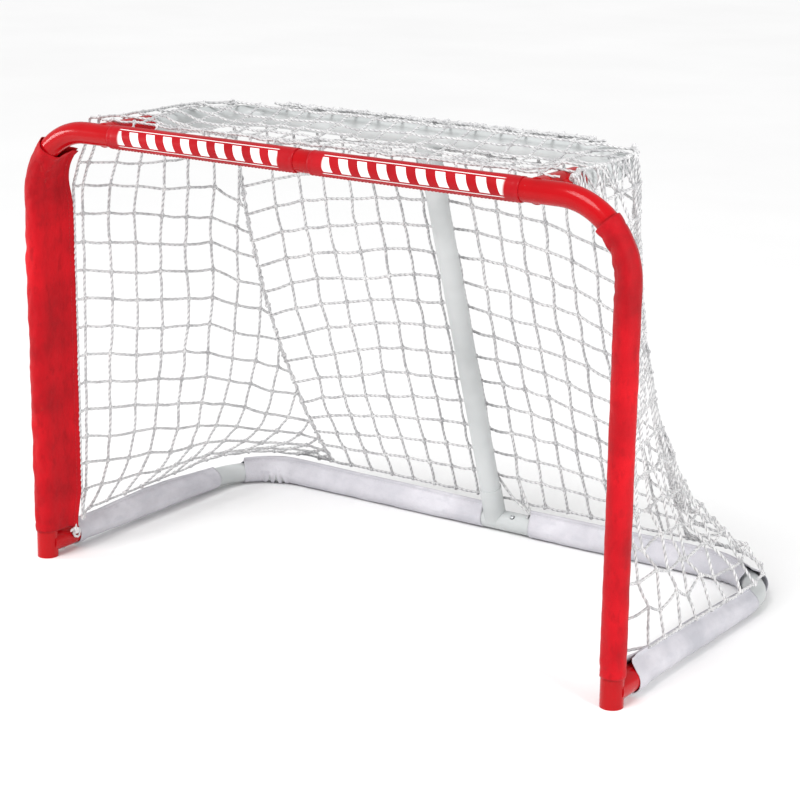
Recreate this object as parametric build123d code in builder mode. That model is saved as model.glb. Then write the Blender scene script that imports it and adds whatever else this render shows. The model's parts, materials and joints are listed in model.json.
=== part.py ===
from build123d import *
from math import asin, atan2, cos, degrees, exp, hypot, radians, sin, sqrt
import os

# A 36 x 24 inch street and pond hockey goal.  Millimetres, +Z up, the goal line along X,
# the mouth facing -Y.  The origin is on the floor, at the middle of the footprint.

# ---------------------------------------------------------------- frame tube
TUBE_R = 14.3                          # 28.6 mm steel tube
WALL = 1.5
FIT_GAP = 0.1                          # radial gap of every slip joint
BORE_R = TUBE_R - WALL
MALE_R = BORE_R - FIT_GAP              # swaged end that slips into a plain tube
MALE_BORE_R = MALE_R - WALL
SOCKET_BORE_R = TUBE_R + FIT_GAP       # welded socket that a plain tube slips into
SOCKET_R = SOCKET_BORE_R + WALL

# ---------------------------------------------------------------- main frame
HALF_WIDTH = 442.9                     # post axis from the middle of the goal
DEPTH = 459.0                          # post axis to rear bar axis
CROSSBAR_Z = 595.3
FRONT_BEND_R = 90.0
BASE_BEND_R = 95.0
FRONT_AXIS_Z = 20.5                    # base bar axis at the posts
SKIRT_R = 16.2                         # outside of the fabric round the base bars
REAR_AXIS_Z = SKIRT_R                  # the rear bar rests on its own skirt
POST_Y = -DEPTH / 2
REAR_Y = DEPTH / 2
BASE_RISE = FRONT_AXIS_Z - REAR_AXIS_Z
BASE_RUN = hypot(DEPTH, BASE_RISE)
BASE_TILT = atan2(BASE_RISE, DEPTH)

# ---------------------------------------------------------------- top shelf
SHELF_HALF_WIDTH = 322.0
SHELF_Y = POST_Y + 260.0
SHELF_Z = CROSSBAR_Z
SHELF_BEND_R = 85.0

# ---------------------------------------------------------------- sockets and slip joints
FOOT_SOCKET_LENGTH = 60.0              # from the post's axis
SHELF_SOCKET_LENGTH = 88.0             # from the crossbar's axis
SUPPORT_SOCKET_LENGTH = 55.0           # from the bar's axis
TUBE_END_INSET = 18.0                  # a tube's end from the axis it points at
CROSSBAR_JOINT_X = 8.0
REAR_JOINT_X = 58.0
SHOULDER_LENGTH = 3.0
CROSSBAR_MALE_LENGTH = 40.0
REAR_MALE_LENGTH = 48.0

# ---------------------------------------------------------------- snap clips
CLIP_REACH = 36.0                      # button to the bend of the clip
CLIP_WIDTH = 8.0
CLIP_THICKNESS = 0.8
CLIP_TAIL = 6.0
CLIP_WALL_GAP = 0.1
CLIP_SPLIT = 0.6                       # gap between the leg and the bend that it turns on
BUTTON_R = 2.8
BUTTON_HOLE_R = 3.6
BUTTON_PROUD = 2.5
BUTTON_TRAVEL = 4.2
BUTTON_EDGE = 0.8
CROSSBAR_BUTTON_X = -3.0
REAR_BUTTON_X = 33.0
REAR_BUTTON_LEAN = 41.0                # degrees from straight up, towards the mouth
FOOT_BUTTON_INSET = 30.0
SHELF_BUTTON_INSET = 50.0

# ---------------------------------------------------------------- fabric and vinyl
WRAP_START_X = 10.8
WRAP_END_X = 305.5
WRAP_BORE_R = 14.4
WRAP_R = 15.15
SLEEVE_BORE_R = 14.6
SLEEVE_R = 16.2
SLEEVE_HEM_Z = 38.0
SLEEVE_BEND_ANGLE = 45.0
SLEEVE_FLAP_REACH = 50.0               # tip of the rear flap from the post's axis
SLEEVE_FLAP_ANGLE = 60.0               # flap from the goal line, turned inwards
FLAP_THICKNESS = 3.0
SKIRT_BORE_R = 14.5
LAP_BORE_R = SOCKET_R + 0.2            # front end of a side skirt, which laps over the socket
LAP_R = LAP_BORE_R + 1.5
LAP_SHOULDER = 2.0
LEFT_SKIRT_START = 50.0                # from the post's axis
RIGHT_SKIRT_START = 39.0
SKIRT_FLAP_TOP = 28.0                  # above the bar's axis
REAR_FLAP_OUT = 9.0                    # the rear flap stands behind the bar's axis
LEFT_CORNER_BARE = 33.0                # degrees of bare bend at the left rear corner
RIGHT_CORNER_SKIRT = 50.0              # degrees of the right rear bend that the skirt covers
REAR_LEFT_SKIRT_X = -17.0
REAR_RIGHT_SKIRT_X = 62.0

# ---------------------------------------------------------------- net
NET_THICKNESS = 2.0
NET_TOP_Z = 611.4                      # just over the shelf sockets
NET_CLEARANCE = 3.2                    # inner face of the net from the shelf socket's bore
NET_BOW = 0.8                          # slack of the long straight edges
NET_LANDING = 75.0                     # where a side panel comes over its side bar, from the post
NET_LOW_ANGLES = (0, 15, 30, 45, 60, 75, 90)  # round a base corner, counted from the side
NET_HIGH_ANGLES = (0, 11, 22, 33)      # round a shelf corner, up to the seam
NET_POINTS = 13                        # points across a side panel
REAR_REACHES = (1.0, 0.92, 0.84, 0.76, 0.4, 0.0)  # points from a seam to the middle, as shares
NET_FRONT_Y = POST_Y + 10.0            # front edge of the top panel, behind the crossbar's top
SEAM_BOTTOM_X = 300.0
SEAM_TOP_ANGLE = 45.0                  # seam's place on the shelf's corner
SEAM_GAP = 1.5                         # between the rear panel and a side panel
SEAM_SAG = 45.0                        # how far the net hangs inwards at its seams, at mid-height
REAR_SAG_POWER = 1.4                   # how the rear panel's sag grows towards its seams
LEFT_FADE = 60.0                       # height over which the net leaves the base's corner
RIGHT_FADE = 110.0
HIGH_FADE = 80.0                       # and over which it leaves the shelf's corner
HUG_Z = SHELF_Z - TUBE_R               # from here up the net hugs the shelf
BEND_Z = CROSSBAR_Z - FRONT_BEND_R     # from here up its front edge follows the bend
NET_LEVELS = (84.0, 122.0, 165.0, 225.0, 295.0, 365.0, 435.0, BEND_Z, 545.0, HUG_Z, NET_TOP_Z)
FRONT_EDGE_OUT = FRONT_BEND_R / 4      # a side panel's top front corner, outside the shelf arm
ROPE_R = 2.2
ROPE_GAP = 3.2                         # between a seam rope and the net
SHELF_ROPE_GAP = 2.6                   # clears the slope of the rear panel

# ---------------------------------------------------------------- foot fittings
PLUG_R = BORE_R - 0.05
PLUG_HEIGHT = 20.0
PLUG_FLOOR = 3.0
PLUG_WALL = 1.6
LOOP_R = 5.6
LOOP_CORD_R = 2.2
LOOP_KNOT_R = 3.2
LOOP_KNOT_OUT = 1.2
LOOP_KNOT_ANGLE = 50.0
LEFT_LOOP_INSET = 38.4                 # from the post's axis
RIGHT_LOOP_INSET = 27.5
LOOP_RISE = 6.5                        # above the socket's axis
LOOP_STANDOFF = 0.3

UP = (Align.CENTER, Align.CENTER, Align.MIN)
CLEAR_THROUGH = 4 * SOCKET_R           # long enough to cut any tube end right away

# ---------------------------------------------------------------- planes
FRONT = Plane(origin=(0, POST_Y, 0), x_dir=(1, 0, 0), z_dir=(0, -1, 0))
SHELF = Plane.XY.offset(SHELF_Z)
BASE = Plane(
    origin=(0, REAR_Y, REAR_AXIS_Z),
    x_dir=(1, 0, 0),
    z_dir=(0, sin(BASE_TILT), cos(BASE_TILT)),
)
SUPPORT_FOOT = Vector(0, REAR_Y, REAR_AXIS_Z)
SUPPORT_HEAD = Vector(0, SHELF_Y, SHELF_Z)
SUPPORT_SPAN = (SUPPORT_HEAD - SUPPORT_FOOT).length
SUPPORT = Plane(origin=SUPPORT_FOOT, x_dir=(1, 0, 0), z_dir=SUPPORT_HEAD - SUPPORT_FOOT)


def base_point(x, y):
    """A point of the base's own plane, with y counted from the rear bar."""
    return BASE.from_local_coords(Vector(x, y, 0))


def foot_plane(side, inset=0.0):
    """Across a base tube, at a distance behind the post's axis."""
    origin = base_point(side * HALF_WIDTH, inset - BASE_RUN)
    return Plane(origin=origin, x_dir=(-1, 0, 0), z_dir=BASE.y_dir)


def shelf_plane(side, inset=0.0):
    """Across a shelf arm, at a distance behind the crossbar's axis."""
    origin = (side * SHELF_HALF_WIDTH, POST_Y + inset, SHELF_Z)
    return Plane(origin=origin, x_dir=(-1, 0, 0), z_dir=(0, 1, 0))


def keep(builder, node):
    """Label a finished piece and write its STEP file."""
    builder.part.label = node
    export_step(builder.part, f"parts/{node}.step")


def ring(outer, inner):
    """Tube section for the sketch that is open."""
    Circle(outer)
    Circle(inner, mode=Mode.SUBTRACT)


def cut_round(plane, radius, length, both=False):
    """Cut a round bar out of the part that is open."""
    align = (Align.CENTER, Align.CENTER, Align.CENTER) if both else UP
    with Locations(plane.location):
        Cylinder(radius, length, align=align, mode=Mode.SUBTRACT)


def cut_button_hole(clip):
    """Cut a snap button's hole out of the part that is open."""
    cut_round(clip, BUTTON_HOLE_R, SOCKET_R + BUTTON_PROUD)


def add_male_end(joint, length):
    """Swage the end of the tube that is open, out of a joint plane."""
    shoulder = joint.offset(-SHOULDER_LENGTH)
    with Locations(shoulder.location):
        Cylinder(BORE_R + FIT_GAP, SHOULDER_LENGTH, align=UP)
    with Locations(joint.location):
        Cylinder(MALE_R, length, align=UP)
    cut_round(shoulder, MALE_BORE_R, SHOULDER_LENGTH + length)


# ---------------------------------------------------------------- where the snap clips sit
# Each plane has its origin on the tube's axis under the button, x along the tube towards
# the bend of the clip, and z out through the button.
def clip_places():
    lean = radians(REAR_BUTTON_LEAN)
    places = {
        "crossbar": (
            Plane((CROSSBAR_BUTTON_X, POST_Y, CROSSBAR_Z), x_dir=(1, 0, 0), z_dir=(0, 0, -1)),
            MALE_BORE_R,
            TUBE_R,
        ),
        "rear_bar": (
            Plane(base_point(REAR_BUTTON_X, 0), x_dir=(1, 0, 0), z_dir=(0, -sin(lean), cos(lean))),
            MALE_BORE_R,
            TUBE_R,
        ),
    }
    for side, name in ((-1, "left"), (1, "right")):
        foot = foot_plane(side, FOOT_BUTTON_INSET).origin
        places[f"{name}_foot"] = (
            Plane(foot, x_dir=BASE.y_dir, z_dir=-BASE.z_dir),
            BORE_R,
            SOCKET_R,
        )
        shelf = shelf_plane(side, SHELF_BUTTON_INSET).origin
        places[f"{name}_shelf"] = (
            Plane(shelf, x_dir=(0, 1, 0), z_dir=(0, 0, -1)),
            BORE_R,
            SOCKET_R,
        )
    return places


CLIPS = clip_places()


def clip_leg_height(bore):
    """Middle of a clip's leg from the tube's axis, its corners just clear of the bore."""
    return sqrt(bore**2 - (CLIP_WIDTH / 2) ** 2) - CLIP_THICKNESS / 2 - CLIP_WALL_GAP


def clip_profile_plane(place):
    """Plane along the clip, x along the tube and y out through the button."""
    return Plane(origin=place.origin, x_dir=place.x_dir, z_dir=-place.y_dir)


def snap_spring(place, bore):
    """Fixed half of a snap clip: the leg opposite the button, and the bend."""
    height = clip_leg_height(bore)
    half = CLIP_THICKNESS / 2
    with BuildPart() as spring:
        with BuildSketch(clip_profile_plane(place)):
            with Locations((CLIP_REACH, 0)):
                Circle(height + half)
                Circle(height - half, mode=Mode.SUBTRACT)
            with Locations((CLIP_REACH, 0)):
                Rectangle(
                    CLEAR_THROUGH,
                    CLEAR_THROUGH,
                    align=(Align.MAX, Align.CENTER),
                    mode=Mode.SUBTRACT,
                )
            with Locations((CLIP_REACH, -height)):
                Rectangle(
                    CLIP_REACH + CLIP_TAIL,
                    CLIP_THICKNESS,
                    align=(Align.MAX, Align.CENTER),
                )
        extrude(amount=CLIP_WIDTH / 2, both=True)
    return spring


def snap_button(place, bore, outside):
    """Moving half of a snap clip: the leg under the wall, with its pressed button."""
    height = clip_leg_height(bore)
    top = outside + BUTTON_PROUD
    with BuildPart() as button:
        with BuildSketch(clip_profile_plane(place)):
            with Locations((-CLIP_TAIL, height)):
                Rectangle(
                    CLIP_REACH + CLIP_TAIL - CLIP_SPLIT,
                    CLIP_THICKNESS,
                    align=(Align.MIN, Align.CENTER),
                )
        extrude(amount=CLIP_WIDTH / 2, both=True)
        with BuildSketch(place.offset(height)):
            Circle(BUTTON_R)
        extrude(amount=top - height)
        fillet(button.edges().sort_by(Axis(place.origin, place.z_dir))[-1], BUTTON_EDGE)
    return button


def clip_pivot(place, bore):
    """Point that a snap button's leg turns on."""
    return place.from_local_coords(Vector(CLIP_REACH, 0, clip_leg_height(bore)))


# ---------------------------------------------------------------- frame tubes
def front_tube(side):
    """Post, bend and half of the crossbar; the right one has the swaged end."""
    with BuildPart() as tube:
        with BuildLine(FRONT) as path:
            FilletPolyline(
                (side * HALF_WIDTH, 0),
                (side * HALF_WIDTH, CROSSBAR_Z),
                (CROSSBAR_JOINT_X, CROSSBAR_Z),
                radius=FRONT_BEND_R,
            )
        with BuildSketch(Plane(path.line ^ 0)):
            ring(TUBE_R, BORE_R)
        sweep(path=path.line)
        if side > 0:
            joint = Plane((CROSSBAR_JOINT_X, POST_Y, CROSSBAR_Z), x_dir=(0, 1, 0), z_dir=(-1, 0, 0))
            add_male_end(joint, CROSSBAR_MALE_LENGTH)
        cut_button_hole(CLIPS["crossbar"][0])
    return tube


def base_tube(side):
    """Side bar, rear bend and part of the rear bar; the right one has the swaged end."""
    with BuildPart() as tube:
        with BuildLine(BASE) as path:
            FilletPolyline(
                (side * HALF_WIDTH, TUBE_END_INSET - BASE_RUN),
                (side * HALF_WIDTH, 0),
                (REAR_JOINT_X, 0),
                radius=BASE_BEND_R,
            )
        with BuildSketch(Plane(path.line ^ 0)):
            ring(TUBE_R, BORE_R)
        sweep(path=path.line)
        if side > 0:
            joint = Plane(base_point(REAR_JOINT_X, 0), x_dir=(0, 1, 0), z_dir=(-1, 0, 0))
            add_male_end(joint, REAR_MALE_LENGTH)
        cut_button_hole(CLIPS["rear_bar"][0])
        cut_button_hole(CLIPS["right_foot" if side > 0 else "left_foot"][0])
    return tube


def shelf_tube():
    """U-shaped tube that carries the top of the net."""
    arm_end = POST_Y + TUBE_END_INSET
    with BuildPart() as tube:
        with BuildLine(SHELF) as path:
            FilletPolyline(
                (-SHELF_HALF_WIDTH, arm_end),
                (-SHELF_HALF_WIDTH, SHELF_Y),
                (SHELF_HALF_WIDTH, SHELF_Y),
                (SHELF_HALF_WIDTH, arm_end),
                radius=SHELF_BEND_R,
            )
        with BuildSketch(Plane(path.line ^ 0)):
            ring(TUBE_R, BORE_R)
        sweep(path=path.line)
        cut_button_hole(CLIPS["left_shelf"][0])
        cut_button_hole(CLIPS["right_shelf"][0])
    return tube


def centre_support():
    """Sloping tube between the rear bar and the shelf."""
    with BuildPart() as tube:
        with BuildSketch(SUPPORT.offset(TUBE_END_INSET)):
            ring(TUBE_R, BORE_R)
        extrude(amount=SUPPORT_SPAN - 2 * TUBE_END_INSET)
    return tube


# ---------------------------------------------------------------- welded sockets
def foot_socket(side, clip):
    """Stub on the back of a post that a base tube slips into."""
    with BuildPart() as socket:
        with BuildSketch(foot_plane(side)):
            ring(SOCKET_R, SOCKET_BORE_R)
        extrude(amount=FOOT_SOCKET_LENGTH)
        post = Plane.XY.move(Location((side * HALF_WIDTH, POST_Y, 0)))
        cut_round(post, TUBE_R, CLEAR_THROUGH)
        cut_button_hole(clip)
    return socket


def shelf_socket(side, clip):
    """Stub on the back of the crossbar that a shelf arm slips into."""
    with BuildPart() as socket:
        with BuildSketch(shelf_plane(side)):
            ring(SOCKET_R, SOCKET_BORE_R)
        extrude(amount=SHELF_SOCKET_LENGTH)
        crossbar = Plane(shelf_plane(side).origin, x_dir=(0, 1, 0), z_dir=(1, 0, 0))
        cut_round(crossbar, TUBE_R, CLEAR_THROUGH, both=True)
        cut_button_hole(clip)
    return socket


def support_socket(start, bar_centre):
    """Short upright socket welded to a bar that runs along X."""
    with BuildPart() as socket:
        with BuildSketch(SUPPORT.offset(start)):
            ring(SOCKET_R, SOCKET_BORE_R)
        extrude(amount=SUPPORT_SOCKET_LENGTH)
        bar = Plane(bar_centre, x_dir=(0, 1, 0), z_dir=(1, 0, 0))
        cut_round(bar, TUBE_R, CLEAR_THROUGH, both=True)
    return socket


def foot_plug(side):
    """Cup-shaped plastic plug pressed into the bottom of a post."""
    with BuildPart() as plug:
        with BuildSketch(Plane.XY):
            with Locations((side * HALF_WIDTH, POST_Y)):
                Circle(PLUG_R)
        extrude(amount=PLUG_HEIGHT)
        with BuildSketch(Plane.XY.offset(PLUG_FLOOR)):
            with Locations((side * HALF_WIDTH, POST_Y)):
                Circle(PLUG_R - PLUG_WALL)
        extrude(amount=PLUG_HEIGHT, mode=Mode.SUBTRACT)
        fillet(plug.edges().group_by(Axis.Z)[0], PLUG_WALL / 2)
    return plug


def lace_loop(side, inset):
    """Knotted cord ring on the inner side of a foot socket."""
    inwards = Vector(-side, 0, 0)
    centre = base_point(side * HALF_WIDTH, inset - BASE_RUN) + BASE.z_dir * LOOP_RISE
    centre += inwards * (SOCKET_R + LOOP_CORD_R + LOOP_STANDOFF)
    turn = radians(LOOP_KNOT_ANGLE)
    knot = Location((-LOOP_R * cos(turn), -side * LOOP_R * sin(turn), LOOP_KNOT_OUT))
    flat = Plane(centre, x_dir=(0, 1, 0), z_dir=inwards).location
    with BuildPart() as loop:
        with Locations(flat):
            Torus(LOOP_R, LOOP_CORD_R)
        with Locations(flat * knot):
            Sphere(LOOP_KNOT_R)
    return loop


# ---------------------------------------------------------------- fabric and vinyl
def crossbar_wrap(side):
    """Vinyl wrap round half of the crossbar."""
    start = Plane((side * WRAP_START_X, POST_Y, CROSSBAR_Z), x_dir=(0, 1, 0), z_dir=(side, 0, 0))
    with BuildPart() as wrap:
        with BuildSketch(start):
            ring(WRAP_R, WRAP_BORE_R)
        extrude(amount=WRAP_END_X - WRAP_START_X)
    return wrap


def post_sleeve(side):
    """Fabric tube round a post and half of its bend, with a flap that holds the net."""
    bend_start = 0 if side > 0 else 180
    flap_turn = 180 - SLEEVE_FLAP_ANGLE if side > 0 else SLEEVE_FLAP_ANGLE
    with BuildPart() as sleeve:
        with BuildLine(FRONT) as path:
            Line((side * HALF_WIDTH, SLEEVE_HEM_Z), (side * HALF_WIDTH, CROSSBAR_Z - FRONT_BEND_R))
            CenterArc(
                (side * (HALF_WIDTH - FRONT_BEND_R), CROSSBAR_Z - FRONT_BEND_R),
                FRONT_BEND_R,
                bend_start,
                side * SLEEVE_BEND_ANGLE,
            )
        with BuildSketch(Plane.XY.offset(SLEEVE_HEM_Z)):
            with Locations((side * HALF_WIDTH, POST_Y)):
                Circle(SLEEVE_R)
            with Locations(Location((side * HALF_WIDTH, POST_Y, 0), (0, 0, flap_turn))):
                Rectangle(SLEEVE_FLAP_REACH, FLAP_THICKNESS, align=(Align.MIN, Align.CENTER))
            with Locations((side * HALF_WIDTH, POST_Y)):
                Circle(SLEEVE_BORE_R, mode=Mode.SUBTRACT)
        sweep(path=path.line)
    return sleeve


def side_skirt(side, start):
    """Fabric round a side bar, lapped over its socket, with an upright flap for the net."""
    lap_end = FOOT_SOCKET_LENGTH + LAP_SHOULDER
    stretches = (
        (start, FOOT_SOCKET_LENGTH, LAP_R, LAP_BORE_R),
        (FOOT_SOCKET_LENGTH, lap_end, LAP_R, SKIRT_BORE_R),
        (lap_end, BASE_RUN - BASE_BEND_R, SKIRT_R, SKIRT_BORE_R),
    )
    with BuildPart() as skirt:
        for near, far, outer, inner in stretches:
            with BuildSketch(foot_plane(side, near)):
                Circle(outer)
                Rectangle(FLAP_THICKNESS, SKIRT_FLAP_TOP, align=(Align.CENTER, Align.MIN))
                Circle(inner, mode=Mode.SUBTRACT)
            extrude(amount=far - near)
    return skirt


def rear_skirt(side, start_x, bend_angle):
    """Fabric round half of the rear bar and part of its bend, with a flap at its back."""
    bend_x = side * (HALF_WIDTH - BASE_BEND_R)
    with BuildPart() as skirt:
        with BuildLine(BASE) as path:
            Line((start_x, 0), (bend_x, 0))
            CenterArc((bend_x, -BASE_BEND_R), BASE_BEND_R, 90, -side * bend_angle)
        with BuildSketch(Plane(base_point(start_x, 0), x_dir=BASE.y_dir, z_dir=(side, 0, 0))):
            Circle(SKIRT_R)
            with Locations((REAR_FLAP_OUT, 0)):
                align = (Align.CENTER, Align.MIN if side > 0 else Align.MAX)
                Rectangle(FLAP_THICKNESS, SKIRT_FLAP_TOP, align=align)
            Circle(SKIRT_BORE_R, mode=Mode.SUBTRACT)
        sweep(path=path.line)
    return skirt


# ---------------------------------------------------------------- net
def offset_line(points, distance):
    """Points moved to the left of an open line, along the mean normal at each point."""
    moved = []
    for index, point in enumerate(points):
        before = points[max(index - 1, 0)]
        after = points[min(index + 1, len(points) - 1)]
        run = hypot(after[0] - before[0], after[1] - before[1])
        normal = (-(after[1] - before[1]) / run, (after[0] - before[0]) / run)
        moved.append((point[0] + normal[0] * distance, point[1] + normal[1] * distance))
    return moved


def corner(centre_x, centre_y, radius, angles):
    """Points round a rear corner of the left half, with the angle counted from -X."""
    return [
        (centre_x - radius * cos(radians(a)), centre_y + radius * sin(radians(a)))
        for a in angles
    ]


def mirrored(points):
    """The same line on the right half, run the same way round."""
    return [(-x, y) for x, y in reversed(points)]


def shelf_net_corner():
    """Radius and centre of the net's line round the shelf's left corner."""
    radius = SHELF_BEND_R + SOCKET_BORE_R + NET_CLEARANCE
    return radius, SHELF_BEND_R - SHELF_HALF_WIDTH, SHELF_Y - SHELF_BEND_R


def even_points(points):
    """Points evenly spaced along a line."""
    line = Polyline(*points)
    step = line.length / (NET_POINTS - 1)
    return [line.position_at(step * index, PositionMode.LENGTH) for index in range(NET_POINTS)]


def net_low_line():
    """Foot of the left side panel: over the base's flaps, from the sleeve's flap to the seam."""
    flap = radians(SLEEVE_FLAP_ANGLE)
    front = (
        -HALF_WIDTH + SLEEVE_FLAP_REACH * cos(flap) + NET_THICKNESS,
        POST_Y + SLEEVE_FLAP_REACH * sin(flap) + NET_THICKNESS,
    )
    flap_r = BASE_BEND_R + REAR_FLAP_OUT
    bend = corner(-(HALF_WIDTH - BASE_BEND_R), REAR_Y - BASE_BEND_R, flap_r, NET_LOW_ANGLES)
    landing = (-HALF_WIDTH, POST_Y + NET_LANDING)
    return even_points([front, landing, *bend, (-SEAM_BOTTOM_X, REAR_Y + REAR_FLAP_OUT)])


def net_high_line():
    """Top of the left side panel: round the shelf, from the crossbar's bend to the seam."""
    radius, centre_x, centre_y = shelf_net_corner()
    arm_x = centre_x - radius
    return even_points(
        [
            (arm_x - FRONT_EDGE_OUT, POST_Y + SLEEVE_R + NET_CLEARANCE),
            (arm_x, POST_Y + FOOT_SOCKET_LENGTH / 2),
            *corner(centre_x, centre_y, radius, (*NET_HIGH_ANGLES, SEAM_TOP_ANGLE)),
        ]
    )


LOW_LINE = net_low_line()
HIGH_LINE = net_high_line()
NET_LOW_Z = REAR_AXIS_Z + SKIRT_FLAP_TOP


def net_share(z):
    """Share of the net's height at a level."""
    return (z - NET_LOW_Z) / (NET_TOP_Z - NET_LOW_Z)


def seam_sag(z):
    """How far the net hangs inwards at a seam, level."""
    return 4 * SEAM_SAG * net_share(z) * (1 - net_share(z))


def bulge(line, index):
    """How far a point of a line stands from the straight line between its ends."""
    return line[index] - line[0] - (line[-1] - line[0]) * (index / (NET_POINTS - 1))


def side_section(z, low_fade):
    """Inner face of the left side panel at a level, with the outside on its left."""
    leave_low = exp(-(z - NET_LOW_Z) / low_fade)
    leave_high = exp(-max(HUG_Z - z, 0) / HIGH_FADE)
    turned = max(z - BEND_Z, 0) / (NET_TOP_Z - BEND_Z)
    front = LOW_LINE[0] + (HIGH_LINE[0] - LOW_LINE[0]) * turned**2 * (3 - 2 * turned)
    seam = LOW_LINE[-1] + (HIGH_LINE[-1] - LOW_LINE[-1]) * net_share(z) - Vector(0, seam_sag(z))
    run = seam - front
    outwards = Vector(-run.Y, run.X).normalized()
    section = []
    for index in range(NET_POINTS):
        share = index / (NET_POINTS - 1)
        bow = outwards * (4 * NET_BOW * share * (1 - share))
        hugging = bulge(LOW_LINE, index) * leave_low + bulge(HIGH_LINE, index) * leave_high
        point = front + run * share + bow + hugging
        section.append((point.X, point.Y))
    return section


def rear_section(z):
    """Inner face of the rear panel at a level, from the left seam to the right one."""
    radius, centre_x, centre_y = shelf_net_corner()
    share = net_share(z)
    low_y = REAR_Y + REAR_FLAP_OUT
    half = []
    for reach in REAR_REACHES:
        high_x = reach * HIGH_LINE[-1].X
        past = max(centre_x - high_x, 0)
        high_y = centre_y + sqrt(radius**2 - past**2)
        x = (high_x - reach * LOW_LINE[-1].X) * share + reach * LOW_LINE[-1].X
        y = low_y + (high_y - low_y) * share - seam_sag(z) * reach**REAR_SAG_POWER
        half.append((x, y + NET_BOW * (1 - reach**2)))
    half[0] = (half[0][0] + SEAM_GAP, half[0][1])
    return half + mirrored(half[:-1])


def net_strip(points, thickness):
    """Closed outline of a net panel's edge."""
    return points + list(reversed(offset_line(points, thickness)))


def net_panel(sections):
    """Net through its sections, the lowest on the base's plane and the others level."""
    levels = [Plane.XY.offset(z) for z in NET_LEVELS]
    with BuildPart() as panel:
        for plane, points in zip([BASE.offset(SKIRT_FLAP_TOP), *levels], sections):
            with BuildSketch(plane):
                with BuildLine():
                    Polyline(*net_strip(points, NET_THICKNESS), close=True)
                make_face()
        loft(ruled=True)
    return panel


def net_sections(section):
    """Sections of a panel from the base up, from its function of the height."""
    low = [(x, (y - REAR_Y) / cos(BASE_TILT)) for x, y in section(NET_LOW_Z)]
    return [low, *[section(z) for z in NET_LEVELS]]


def top_net_panel():
    """Net laid over the shelf."""
    radius, centre_x, centre_y = shelf_net_corner()
    radius += NET_THICKNESS
    half_width = radius - centre_x
    depth = centre_y + radius - NET_FRONT_Y
    with BuildPart() as panel:
        with BuildSketch(Plane.XY.offset(NET_TOP_Z)) as outline:
            with Locations((0, NET_FRONT_Y)):
                Rectangle(2 * half_width, depth, align=(Align.CENTER, Align.MIN))
            fillet(outline.vertices().group_by(Axis.Y)[-1], radius)
        extrude(amount=NET_THICKNESS)
    return panel


def seam_rope(side):
    """Rope down the seam between a side panel and the rear panel."""
    radius, centre_x, centre_y = shelf_net_corner()
    out = NET_THICKNESS + ROPE_R + ROPE_GAP
    head_x, head_y = corner(centre_x, centre_y, radius + out, [SEAM_TOP_ANGLE])[0]
    foot = Vector(side * SEAM_BOTTOM_X, REAR_Y + REAR_FLAP_OUT + out, NET_LOW_Z)
    head = Vector(-side * head_x, head_y, NET_TOP_Z)
    middle = (foot + head) * 0.5 - Vector(0, SEAM_SAG, 0)
    with BuildPart() as cord:
        with BuildLine() as path:
            ThreePointArc(foot, middle, head)
        with BuildSketch(Plane(path.line ^ 0)):
            Circle(ROPE_R)
        sweep(path=path.line)
    return cord


def shelf_rope():
    """Rope along the rear edge of the top panel."""
    radius, centre_x, centre_y = shelf_net_corner()
    y = centre_y + radius + NET_THICKNESS + ROPE_R + SHELF_ROPE_GAP
    with BuildPart() as cord:
        with BuildSketch(Plane((centre_x, y, NET_TOP_Z - ROPE_R), x_dir=(0, 1, 0), z_dir=(1, 0, 0))):
            Circle(ROPE_R)
        extrude(amount=-2 * centre_x)
    return cord


# ---------------------------------------------------------------- build and write
os.makedirs("parts", exist_ok=True)

for side, name in ((-1, "left"), (1, "right")):
    keep(front_tube(side), f"{name}_front_tube")
    keep(base_tube(side), f"{name}_base_tube")
    keep(foot_socket(side, CLIPS[f"{name}_foot"][0]), f"{name}_foot_socket")
    keep(shelf_socket(side, CLIPS[f"{name}_shelf"][0]), f"{name}_shelf_socket")
    keep(foot_plug(side), f"{name}_foot_plug")
    keep(crossbar_wrap(side), f"{name}_crossbar_wrap")
    keep(post_sleeve(side), f"{name}_post_sleeve")

keep(lace_loop(-1, LEFT_LOOP_INSET), "left_lace_loop")
keep(lace_loop(1, RIGHT_LOOP_INSET), "right_lace_loop")
keep(side_skirt(-1, LEFT_SKIRT_START), "left_side_skirt")
keep(side_skirt(1, RIGHT_SKIRT_START), "right_side_skirt")
keep(shelf_tube(), "shelf_tube")
keep(centre_support(), "centre_support")
keep(support_socket(0, SUPPORT_FOOT), "base_support_socket")
keep(support_socket(SUPPORT_SPAN - SUPPORT_SOCKET_LENGTH, SUPPORT_HEAD), "shelf_support_socket")
keep(rear_skirt(-1, REAR_LEFT_SKIRT_X, 90 - LEFT_CORNER_BARE), "rear_left_skirt")
keep(rear_skirt(1, REAR_RIGHT_SKIRT_X, RIGHT_CORNER_SKIRT), "rear_right_skirt")

for name, (place, bore, outside) in CLIPS.items():
    keep(snap_spring(place, bore), f"{name}_snap_spring")
    keep(snap_button(place, bore, outside), f"{name}_snap_button")

left_sections = net_sections(lambda z: side_section(z, LEFT_FADE))
right_sections = net_sections(lambda z: mirrored(side_section(z, RIGHT_FADE)))
keep(net_panel(left_sections), "left_net_panel")
keep(net_panel(right_sections), "right_net_panel")
keep(net_panel(net_sections(rear_section)), "rear_net_panel")
keep(top_net_panel(), "top_net_panel")
keep(seam_rope(-1), "left_seam_rope")
keep(seam_rope(1), "right_seam_rope")
keep(shelf_rope(), "shelf_rope")

press_angle = degrees(asin(BUTTON_TRAVEL / CLIP_REACH))
for name, (place, bore, outside) in CLIPS.items():
    print(name, "button turns", round(press_angle, 2), "about", clip_pivot(place, bore), -place.y_dir)
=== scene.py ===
import json
import math
import random

import bpy
import numpy as np
from mathutils import Matrix, Vector, noise


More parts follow.
